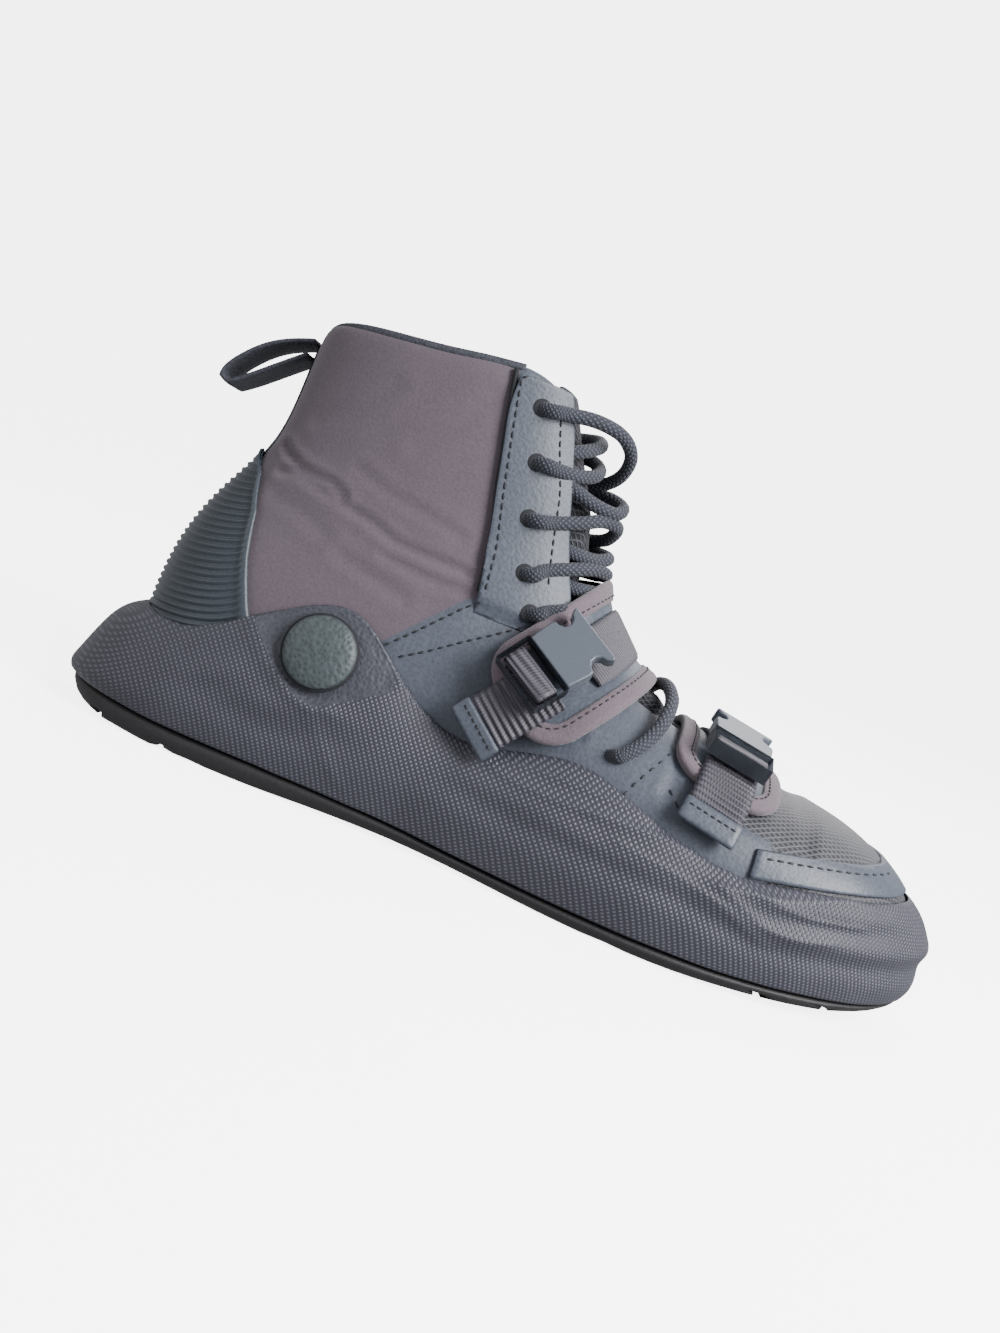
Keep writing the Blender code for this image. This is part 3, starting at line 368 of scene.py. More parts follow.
def smooth_copy(source: str, name: str, levels: int, sharp: float = 180.0) -> bpy.types.Object:
    """A merged and subdivided copy of a CAD node.

    Args:
        source: The CAD node.
        name: Name of the new piece.
        levels: Subdivision levels.
        sharp: Edges that turn more than this many degrees stay crisp.

    Returns:
        The new object.
    """
    bm = bmesh.new()
    bm.from_mesh(frame["nodes"][source].data)
    bmesh.ops.remove_doubles(bm, verts=bm.verts, dist=0.00002)
    bmesh.ops.join_triangles(bm, faces=bm.faces, angle_face_threshold=math.radians(40.0),
                             angle_shape_threshold=math.radians(80.0))
    crease = bm.edges.layers.float.new("crease_edge")
    for edge in bm.edges:
        if len(edge.link_faces) == 2 and edge.calc_face_angle() > math.radians(sharp):
            edge[crease] = 0.85
    obj = add_object(name, bm)
    mod = obj.modifiers.new("smooth", "SUBSURF")
    mod.levels = mod.render_levels = levels
    return obj


def settle(obj: bpy.types.Object) -> bpy.types.Object:
    """Make a piece's modifiers part of its mesh."""
    graph = bpy.context.evaluated_depsgraph_get()
    mesh = bpy.data.meshes.new_from_object(obj.evaluated_get(graph))
    obj.modifiers.clear()
    obj.data = mesh
    return obj


class Skin:
    """A surface that seams, patches and holes are laid on."""

    def __init__(self, *objects: bpy.types.Object) -> None:
        """Read the surface of the finished objects."""
        graph = bpy.context.evaluated_depsgraph_get()
        self.trees = [BVHTree.FromObject(obj, graph) for obj in objects]

    def ray(self, start: Vector, way: Vector) -> tuple[Vector, Vector]:
        """First point on a ray, or the nearest point where it misses, with the normal there."""
        best = None
        for tree in self.trees:
            hit = tree.ray_cast(start, way)
            if hit[0] is not None and (best is None or hit[3] < best[3]):
                best = hit
        if best is None:
            best = min((tree.find_nearest(start) for tree in self.trees), key=lambda h: h[3])
        normal = best[1] if best[1].dot(way) < 0.0 else -best[1]
        return best[0], normal

    def side(self, x: float, z: float, side: Side, lift: float = 0.0) -> tuple[Vector, Vector]:
        """The point of one side that shows at a station and a height, lifted by millimetres."""
        point, normal = self.ray(at(x, side.value * 140.0, z), Vector((0.0, -side.value, 0.0)))
        return point + normal * lift * MM, normal

    def run(self, spots: Sequence[Spot], side: Side, pitch: float, lift: float = 0.0) -> list:
        """Points and normals along a seam on one side, evenly spaced."""
        return [self.side(x, z, side, lift) for x, z in walk(spots, pitch)]


def reach(line: Sequence[Spot], xs: np.ndarray, zs: np.ndarray) -> np.ndarray:
    """Distance of many places from a line of places, in millimetres."""
    best = np.full(xs.shape, 1e9)
    for (x0, z0), (x1, z1) in zip(line[:-1], line[1:]):
        run = (x1 - x0) ** 2 + (z1 - z0) ** 2
        share = np.clip(((xs - x0) * (x1 - x0) + (zs - z0) * (z1 - z0)) / run, 0.0, 1.0)
        best = np.minimum(best, np.hypot(xs - x0 - share * (x1 - x0), zs - z0 - share * (z1 - z0)))
    return best


def panel_edge(tree: bpy.types.NodeTree, key: bpy.types.NodeSocket, line: Sequence[Spot], wide: float,
               tall: float) -> bpy.types.NodeSocket:
    """A panel's edge as a curve node, from places in millimetres.

    Args:
        tree: The material's node tree.
        key: The share of the width at each point.
        line: The edge's places.
        wide: What a share of one is along the first number.
        tall: The same along the second number.

    Returns:
        The edge's share along the second number.
    """
    curve = node(tree, "ShaderNodeFloatCurve", {1: key})
    points = curve.mapping.curves[0].points
    points[0].location = (line[0][0] / wide, line[0][1] / tall)
    points[1].location = (line[-1][0] / wide, line[-1][1] / tall)
    for a, b in line[1:-1]:
        points.new(a / wide, b / tall)
    for point in points:
        point.handle_type = "VECTOR"
    curve.mapping.update()
    return curve.outputs[0]


def beyond(tree: bpy.types.NodeTree, value: bpy.types.NodeSocket, edge: bpy.types.NodeSocket,
           soft: float) -> bpy.types.NodeSocket:
    """One where a value lies past an edge, and zero before it."""
    gap = node(tree, "ShaderNodeMath", {0: value, 1: edge}, operation="SUBTRACT").outputs[0]
    return node(tree, "ShaderNodeMapRange", {0: gap, 1: -soft, 2: soft}).outputs[0]


def shares(tree: bpy.types.NodeTree) -> tuple[bpy.types.NodeSocket, bpy.types.NodeSocket]:
    """Sockets of the station and the height, as shares of LENGTH and REACH_UP."""
    co = node(tree, "ShaderNodeTexCoord").outputs["Object"]
    parts = node(tree, "ShaderNodeSeparateXYZ", {0: co}).outputs
    station = node(tree, "ShaderNodeMath", {0: parts["X"], 1: HEEL_TO_MIDDLE * MM}, operation="ADD").outputs[0]
    x = node(tree, "ShaderNodeMath", {0: station, 1: LENGTH * MM}, operation="DIVIDE").outputs[0]
    z = node(tree, "ShaderNodeMath", {0: parts["Z"], 1: REACH_UP * MM}, operation="DIVIDE").outputs[0]
    return x, z


def read_points(mesh: bpy.types.Mesh) -> tuple[np.ndarray, np.ndarray]:
    """A mesh's points and their normals."""
    co = np.zeros(len(mesh.vertices) * 3)
    mesh.vertices.foreach_get("co", co)
    return co.reshape(-1, 3), np.array([v.normal for v in mesh.vertices])


def walk(spots: Sequence[Spot], pitch: float) -> list[Spot]:
    """Evenly spaced places along a line of places."""
    points = np.array(spots, float)
    steps = np.concatenate([[0.0], np.cumsum(np.linalg.norm(np.diff(points, axis=0), axis=1))])
    count = max(int(round(steps[-1] / pitch)), 1)
    marks = np.linspace(0.0, steps[-1], count + 1)
    return list(zip(np.interp(marks, steps, points[:, 0]), np.interp(marks, steps, points[:, 1])))


def flow(points: Sequence[Vector], steps: int = 8) -> list[Vector]:
    """A smooth line through points."""
    ends = [2 * points[0] - points[1], *points, 2 * points[-1] - points[-2]]
    out = []
    for a, b, c, d in zip(ends, ends[1:], ends[2:], ends[3:]):
        for k in range(steps):
            u = k / steps
            out.append(0.5 * (2 * b + (c - a) * u + (2 * a - 5 * b + 4 * c - d) * u * u
                              + (3 * b - a - 3 * c + d) * u ** 3))
    out.append(points[-1].copy())
    return out


def tube(name: str, path: Sequence[Vector], radius: float, sides: int = 12) -> bpy.types.Object:
    """A round tube along a line, with its UV in millimetres.

    Args:
        name: Name of the piece.
        path: Points of the line in the frame.
        radius: Radius in millimetres.
        sides: Faces round it.

    Returns:
        The new object.
    """
    ways = [(path[min(i + 1, len(path) - 1)] - path[max(i - 1, 0)]).normalized() for i in range(len(path))]
    up = ways[0].orthogonal().normalized()
    frames = []
    for way in ways:
        up = (up - way * up.dot(way)).normalized()
        frames.append((up.copy(), way.cross(up)))
    length = sum((b - a).length for a, b in zip(path[:-1], path[1:])) / MM

    def place(u: float, v: float) -> Vector:
        """A point of the tube."""
        i = int(round(v * (len(path) - 1)))
        turn = 2.0 * math.pi * u
        return path[i] + (frames[i][0] * math.cos(turn) + frames[i][1] * math.sin(turn)) * radius * MM

    return mapped(name, sides, len(path) - 1, place, (2.0 * math.pi * radius, length), closed=True)


@dataclass
class Thread:
    """Rows of stitches: low pods of thread sunk into a surface."""

    name: str
    long: float = 1.25
    wide: float = 0.42

    def build(self, runs: Sequence[Sequence[tuple[Vector, Vector]]]) -> bpy.types.Object:
        """One piece with a stitch between every two points of every row."""
        bm = bmesh.new()
        for run in runs:
            for (a, normal), (b, _) in zip(run[:-1], run[1:]):
                way = (b - a).normalized()
                out = (normal - way * normal.dot(way)).normalized()
                turn = Matrix((way, out.cross(way), out)).transposed().to_4x4()
                size = Matrix.Diagonal((self.long * MM, self.wide * MM, self.wide * MM, 1.0))
                spot = Matrix.Translation((a + b) / 2.0)
                bmesh.ops.create_uvsphere(bm, u_segments=6, v_segments=4, radius=1.0,
                                          matrix=spot @ turn @ size)
        return adopt(add_object(self.name, bm), THREAD, "lace")


@dataclass
class Studio:
    """Camera, soft lights and a pale floor that rises behind the shoe."""

    stand: Vector
    right: Vector
    down: Vector
    fill: float = 0.86
    frame_wide: float = 1000.0
    frame_tall: float = 1333.0

    def camera(self) -> None:
        """Put the camera where the photograph was taken, turned to the middle of the shoe."""
        points = [v.co.copy() for o in frame["nodes"].values() for v in o.data.vertices]
        right, down = self.right.normalized(), self.down.normalized()
        ahead = right.cross(down).normalized()
        for _ in range(4):
            down = ahead.cross(right).normalized()
            seen = [((p - self.stand).dot(right), (p - self.stand).dot(down), (p - self.stand).dot(ahead))
                    for p in points]
            us = [x / z for x, _, z in seen]
            vs = [y / z for _, y, z in seen]
            middle = ahead + right * (min(us) + max(us)) / 2.0 + down * (min(vs) + max(vs)) / 2.0
            turn = ahead.rotation_difference(middle.normalized())
            ahead, right = turn @ ahead, turn @ right
        down = ahead.cross(right).normalized()
        data = bpy.data.cameras.new("view")
        data.lens = data.sensor_width * self.fill * self.frame_wide / self.frame_tall / (max(us) - min(us))
        data.clip_start = 0.01
        camera = bpy.data.objects.new("view", data)
        turn = Matrix((right, -down, -ahead)).transposed()
        camera.matrix_world = Matrix.Translation(self.stand) @ turn.to_4x4()
        bpy.context.scene.collection.objects.link(camera)
        bpy.context.scene.camera = camera

    def lamp(self, name: str, spot: Sequence[float], size: float, power: float) -> None:
        """A square soft light that looks at the shoe."""
        data = bpy.data.lights.new(name, "AREA")
        data.size = size
        data.energy = power
        lamp = bpy.data.objects.new(name, data)
        away = (Vector(spot) - Vector((0.0, 0.0, 0.06))).normalized()
        lamp.matrix_world = Matrix.Translation(spot) @ away.to_track_quat("Z", "Y").to_matrix().to_4x4()
        bpy.context.scene.collection.objects.link(lamp)

    def floor(self) -> None:
        """A round pale floor whose rim curves up out of sight."""
        bm = bmesh.new()
        profile = [(0.0, 0.0), (1.6, 0.0), (2.2, 0.08), (2.6, 0.4), (2.8, 1.0), (2.9, 2.2)]
        verts = [bm.verts.new((r, 0.0, z - 0.0002)) for r, z in profile]
        edges = [bm.edges.new(pair) for pair in zip(verts[:-1], verts[1:])]
        bmesh.ops.spin(bm, geom=verts + edges, cent=(0, 0, 0), axis=(0, 0, 1), steps=64,
                       angle=2.0 * math.pi, use_merge=True)
        bmesh.ops.remove_doubles(bm, verts=bm.verts, dist=0.0001)
        floor = add_object("studio_floor", bm)
        mat = bpy.data.materials.new("matt_paper")
        mat.use_nodes = True
        shader = mat.node_tree.nodes["Principled BSDF"]
        shader.inputs["Base Color"].default_value = linear("F6F6F8")
        shader.inputs["Roughness"].default_value = 0.9
        shader.inputs["Emission Color"].default_value = linear("FFFFFF")
        shader.inputs["Emission Strength"].default_value = 4.6
        floor.data.materials.append(mat)
        floor.data.shade_smooth()
        # The paper is as bright as in the photo, but its light doesn't wash the shoe out.
        floor.visible_diffuse = False
        floor.visible_glossy = False

    def build(self) -> None:
        """Everything that isn't the shoe."""
        self.camera()
        self.floor()
        self.lamp("key", (0.85, -0.6, 0.85), 0.6, 27.0)
        self.lamp("toe", (0.42, -0.34, 0.24), 0.2, 2.3)
        self.lamp("left", (-1.5, -0.9, 0.9), 1.2, 6.0)
        self.lamp("back", (0.5, 1.3, 1.2), 1.2, 14.0)
        world = bpy.data.worlds.new("studio")
        world.use_nodes = True
        world.node_tree.nodes["Background"].inputs[0].default_value = linear("F4F5F8")
        world.node_tree.nodes["Background"].inputs[1].default_value = 0.62
        bpy.context.scene.world = world


@dataclass(frozen=True)
class Strand:
    """One pass of the lace: its hole, the points that it goes through and where it dives."""

    name: str
    hole: Spot
    side: Side
    through: tuple[tuple[float, float, float], ...]
    far_hole: Optional[Spot] = None


L, R = Side.LATERAL, Side.MEDIAL
STRANDS = (
    Strand("lace_1_outer", (131.7, 150.2), L, (
        (140, -25.5, 151.5), (150, -20, 153.5), (159, -11, 153.2), (164, -2, 149), (163, 6, 142.5),
        (157, 13, 137.5), (149, 18.5, 134.5), (143, 19, 133.5))),
    Strand("lace_1_inner", (131.7, 150.2), R, (
        (139, 26, 151), (146, 20, 152), (151, 10, 151.5), (153, 0, 149), (151, -10, 145.5), (146.5, -17, 142),
        (141, -19, 140))),
    Strand("lace_2_outer", (136.4, 133.2), L, (
        (144, -24.5, 133.6), (150, -17, 134.8), (154.6, -8, 137.5), (155.5, 1, 141), (152, 9, 144),
        (146, 16, 145), (140, 18.5, 145))),
    Strand("lace_2_inner", (136.4, 133.2), R, (
        (144, 25, 133.5), (152, 19, 133.2), (161, 10, 134.2), (167.8, 1, 131.8), (166, -7, 128.2),
        (158.5, -14, 128.2), (151, -18.5, 130), (146, -19, 131))),
    Strand("lace_3_outer", (140.6, 115.4), L, (
        (148.5, -24.5, 117), (156.5, -18.5, 120.4), (163.5, -10, 124.4), (168.6, -1, 124.4), (166.5, 7, 120),
        (160, 14, 117.8), (154, 18.5, 117.5), (149, 19, 117.5))),
    Strand("lace_3_inner", (140.6, 115.4), R, (
        (149, 25, 115.4), (158, 18.5, 114), (165.5, 9, 114.4), (169.5, 0, 113.4), (165.5, -9, 111),
        (159.5, -16, 110.4), (154, -19, 110.6))),
    Strand("lace_4_outer", (145.8, 98.3), L, (
        (152, -25, 101.5), (159.5, -19.5, 105), (166.5, -10.5, 107.8), (171, 0, 108), (167.5, 10, 107),
        (161, 17, 106.5), (155.5, 19, 106.5))),
    Strand("lace_4_inner", (145.8, 98.3), R, (
        (153, 25.5, 99.6), (162, 19, 101), (169.5, 9.5, 102.4), (172.6, 0, 102.4), (170, -10, 100.8),
        (164, -17, 99.6), (159, -19, 99.2))),
    Strand("lace_5_outer", (152.0, 86.6), L, (
        (157.5, -27.5, 88.8), (163.5, -24, 91.8), (170, -15.5, 95), (174.6, -4, 97), (174, 7, 97),
        (168, 15, 96), (162.5, 18.5, 95.4))),
    Strand("lace_low_loop", (192.7, 53.8), L, (
        (197, -40.2, 55.6), (202, -36.5, 61), (206, -29, 68.6), (207.4, -17, 75.6), (205.5, -4, 79.4),
        (203, 8, 79), (201, 20, 75.2), (198.4, 31, 67.4), (195.5, 38.6, 58)), (192.7, 53.8)),
)


@dataclass
class Laces:
    """The lace in its passes, from hole to hole."""

    skin: Skin
    thick: float = LACE

    def hole_end(self, spot: Spot, side: Side) -> list[Vector]:
        """Two points of a pass at its hole: sunk in it, and just out of it."""
        sunk, _ = self.skin.side(*spot, side, -1.5)
        out, _ = self.skin.side(spot[0] + 3.0, spot[1], side, 2.2)
        return [sunk, out]

    def build(self) -> None:
        """Every pass of the lace."""
        for strand in STRANDS:
            points = self.hole_end(strand.hole, strand.side)
            points += [at(*p) for p in strand.through]
            if strand.far_hole:
                points += reversed(self.hole_end(strand.far_hole, R))
            path = flow(points, 5)
            nodes = {"lace_1_outer": ["lace_bars"], "lace_low_loop": ["lace_low"]}.get(strand.name, [])
            cord = adopt(tube(strand.name, path, self.thick / 2.0), CORD, "lace", *nodes)

    def hole_shades(self) -> None:
        """Painted shade in each lace hole: a flat dark disc sunk just under the surface where a pass comes out."""
        bm = bmesh.new()
        spots = {(strand.hole, side) for strand in STRANDS for side in Side}
        for (x, z), side in sorted(spots, key=lambda s: (s[0], s[1].value)):
            point, normal = self.skin.side(x, z, side, -0.1)
            turn = normal.to_track_quat("Z", "Y").to_matrix().to_4x4()
            bmesh.ops.create_uvsphere(bm, u_segments=20, v_segments=8, radius=1.0, matrix=Matrix.Translation(
                point) @ turn @ Matrix.Diagonal((3.2 * MM, 3.2 * MM, 0.5 * MM, 1.0)))
        adopt(add_object("lace_holes", bm), DARK_EDGE_AND_SHADE, "leather")


@dataclass(frozen=True)
class Ridge:
    """A moulded line on the cup's sides: its places, its height and how fast it fades."""

    line: tuple[Spot, ...]
    high: float
    wide: float


@dataclass
class CupSole:
    """Foam cup and its rubber outsole."""

    panel: tuple[Spot, ...] = (
        (0.0, 170.0), (65.0, 170.0), (69.2, 52.5), (73.5, 48.0), (79.4, 42.8), (84.5, 38.8), (90.1, 35.5),
        (94.0, 33.9), (98.5, 33.4), (105.8, 37.3), (113.9, 42.6), (120.0, 46.5), (123.0, 170.0), (320.0, 170.0))
    ridges: tuple[Ridge, ...] = (
        Ridge(((69.2, 51.5), (79.4, 41.8), (90.1, 34.5), (98.5, 31.8), (104.0, 34.0)), 1.3, 1.7),
        Ridge(((154.0, 37.7), (168.4, 35.7), (185.5, 35.6), (200.4, 37.3), (218.5, 37.6), (232.8, 36.6),
               (247.8, 33.2), (266.3, 31.2), (285.8, 33.6)), 0.9, 1.3),
        Ridge(((155.3, 39.2), (174.4, 41.8), (192.9, 42.2), (208.7, 41.5), (224.0, 42.0)), 0.8, 1.2),
        Ridge(((235.4, 30.9), (249.0, 32.2), (262.0, 34.6), (274.4, 38.8), (286.8, 43.0), (294.3, 45.3)), 0.9, 1.2),
        Ridge(((239.0, 31.0), (247.1, 27.6), (255.1, 24.2), (264.7, 24.0), (277.4, 26.4)), 0.8, 1.2),
        Ridge(((205.0, 31.5), (222.0, 30.0), (240.0, 26.5), (256.0, 19.5)), 0.6, 1.4),
        Ridge(((99.4, 29.4), (105.6, 22.0), (110.6, 17.0), (115.7, 12.1)), 0.5, 0.9),
    )
    sunk: float = 0.8

    def foam(self) -> bpy.types.Material:
        """Ribbed foam with a smooth grained panel round the disc."""
        mat = bpy.data.materials.new("ribbed_foam_with_grained_panel")
        mat.use_nodes = True
        tree = mat.node_tree
        ribbed, high = FOAM.surface(tree)
        grained, low = PANEL.surface(tree)
        x, z = shares(tree)
        mask = beyond(tree, z, panel_edge(tree, x, self.panel, LENGTH, REACH_UP), 0.0022)
        colour = node(tree, "ShaderNodeMix", {0: mask, 6: ribbed, 7: grained}, data_type="RGBA").outputs[2]
        height = node(tree, "ShaderNodeMix", {0: mask, 2: high, 3: low}, data_type="FLOAT").outputs[0]
        return FOAM.close(mat, colour, height)

    def carve(self, cup: bpy.types.Object) -> None:
        """Press the panel in and raise the moulded ridges, on the cup's two sides."""
        co, normals = read_points(cup.data)
        xs, zs = co[:, 0] / MM + HEEL_TO_MIDDLE, co[:, 2] / MM
        outer = np.clip((normals[:, 1] * np.sign(co[:, 1]) - 0.1) / 0.3, 0.0, 1.0)
        outer = np.maximum(outer, np.clip((normals[:, 0] - 0.5) / 0.3, 0.0, 1.0) * (xs > 250.0))
        lower = np.interp(xs, [p[0] for p in self.panel], [p[1] for p in self.panel])
        shift = -self.sunk * np.clip((zs - lower) / 1.6, 0.0, 1.0)
        for ridge in self.ridges:
            shift += ridge.high * np.exp(-reach(ridge.line, xs, zs) / ridge.wide)
        cup.data.vertices.foreach_set("co", (co + normals * (shift * outer * MM)[:, None]).ravel())
        cup.data.update()

    def build(self) -> bpy.types.Object:
        """Both pieces; the cup is returned."""
        cup = settle(smooth_copy("midsole", "cup_sole", 2, 45.0))
        self.carve(cup)
        cup.data.materials.clear()
        cup.data.materials.append(self.foam())
        adopt(cup, None, "foam", "midsole")
        tread = smooth_copy("outsole", "rubber_tread", 1, 30.0)
        adopt(tread, RUBBER, "outsole_rubber", "outsole")
        return cup


@dataclass(frozen=True)
class Crease:
    """A soft trough in the upper with a low ridge on each side."""

    line: tuple[Spot, ...]
    deep: float
    wide: float


@dataclass
class Upper:
    """The lasted upper: knit shaft, leather quarter, mesh vamp and lining."""

    leather_edge: tuple[Spot, ...] = (
        (0.0, 110.2), (60.1, 110.2), (68.2, 117.6), (76.3, 125.0), (83.3, 131.4), (86.2, 135.9), (90.0, 135.2),
        (103.0, 133.0), (122.0, 128.0),
        (142.0, 123.6), (162.0, 120.0), (170.0, 120.0))
    leather_top: tuple[Spot, ...] = (
        (0.0, 170.0), (212.0, 170.0), (219.0, 60.0), (232.0, 50.0), (251.0, 47.5), (252.0, 0.0), (320.0, 0.0))
    overlay: float = 0.7
    creases: tuple[Crease, ...] = (
        Crease(((53.0, 109.5), (55.7, 107.3), (62, 104.5), (70.5, 103.3), (75.3, 103.0), (81.0, 100.4)),
               1.2, 1.5),
        Crease(((56.0, 100.5), (61.9, 102.1), (70.9, 100), (81.6, 97.7), (93.8, 95.3), (103.5, 91.8), (112.8, 91.7),
                (128.7, 91.5)), 0.85, 1.7),
        Crease(((100.9, 87), (112.7, 85.3), (122.4, 84.5), (129.7, 85.7)), 0.5, 1.8),
        Crease(((82, 110.5), (94, 106.5), (108, 104.5), (122, 101.5)), 0.4, 2.2),
        Crease(((58, 92), (68, 90.5), (80, 86)), 0.35, 2.6),
        Crease(((86, 82), (98, 79), (112, 76)), 0.4, 2.4),
        Crease(((62, 121), (74, 128), (84, 140)), 0.35, 3.2),
        Crease(((98, 124), (108, 134), (116, 148)), 0.3, 3.2),
        Crease(((136.0, 100.0), (141.5, 97.6), (145.5, 97.0)), 0.5, 1.3),
        Crease(((160, 74), (172, 66), (182, 56)), 0.5, 2.0),
        Crease(((212, 74), (216, 62), (214, 50)), 0.4, 2.2),
        Crease(((256, 66), (262, 57), (262, 49)), 0.4, 2.6),
    )

    def relief(self, xs: np.ndarray, zs: np.ndarray) -> np.ndarray:
        """How far the creases move the cloth, in millimetres."""
        total = np.zeros(xs.shape)
        for crease in self.creases:
            away = reach(crease.line, xs, zs) / crease.wide
            total += 0.9 * crease.deep * (0.5 * np.exp(-(away - 1.7) ** 2) - np.exp(-away ** 2))
        return total

    def zones(self) -> bpy.types.Material:
        """Knit, leather and mesh in one material, split along the panels' edges."""
        mat = bpy.data.materials.new("knit_leather_and_mesh_panels")
        mat.use_nodes = True
        tree = mat.node_tree
        x, z = shares(tree)
        is_leather = beyond(tree, x, panel_edge(tree, z, self.leather_edge, REACH_UP, LENGTH), 0.0016)
        is_mesh = beyond(tree, z, panel_edge(tree, x, self.leather_top, LENGTH, REACH_UP), 0.003)
        colour, height = KNIT.surface(tree)
        for share, finish in ((is_leather, LEATHER), (is_mesh, MESH)):
            tone, rise = finish.surface(tree)
            colour = node(tree, "ShaderNodeMix", {0: share, 6: colour, 7: tone}, data_type="RGBA").outputs[2]
            height = node(tree, "ShaderNodeMix", {0: share, 2: height, 3: rise}, data_type="FLOAT").outputs[0]
        mat = KNIT.close(mat, colour, height)
        rough = node(tree, "ShaderNodeMix", {0: is_leather, 2: KNIT.roughness, 3: 0.55}, data_type="FLOAT")
        tree.links.new(rough.outputs[0], tree.nodes["Principled BSDF"].inputs["Roughness"])
        return mat

    def build(self) -> bpy.types.Object:
        """The upper with its creases, the leather's thickness and its lining."""
        obj = settle(smooth_copy("upper", "upper_shell", 3))
        mesh = obj.data
        co, normals = read_points(mesh)
        middles = np.array([hollow_at(Vector(c)) for c in co])
        outside = np.einsum("ij,ij->i", normals, co - middles) > 0.0
        xs, zs = co[:, 0] / MM + HEEL_TO_MIDDLE, co[:, 2] / MM
        away = np.where(outside[:, None], normals, -normals)
        edge = np.interp(zs, [p[0] for p in self.leather_edge], [p[1] for p in self.leather_edge])
        roof = np.interp(xs, [p[0] for p in self.leather_top], [p[1] for p in self.leather_top])
        leather = np.clip((xs - edge) / 1.6, 0.0, 1.0) * np.clip((roof - zs) / 1.6, 0.0, 1.0)
        leather = np.maximum(leather, np.clip((xs - 258.0) / 6.0, 0.0, 1.3))
        rim = np.clip((159.0 - zs) / 10.0, 0.25, 1.0)
        shift = self.relief(xs, zs) * rim + np.where(outside, leather * self.overlay, 0.0)
        mesh.vertices.foreach_set("co", (co + away * (shift * MM)[:, None]).ravel())
        mesh.update()
        mesh.materials.clear()
        mesh.materials.append(self.zones())
        mesh.materials.append(LINING.make())
        for face in mesh.polygons:
            middle = hollow_at(face.center)
            face.material_index = 0 if face.normal.dot(face.center - middle) > 0.0 else 1
        return adopt(obj, None, "knit", "upper")


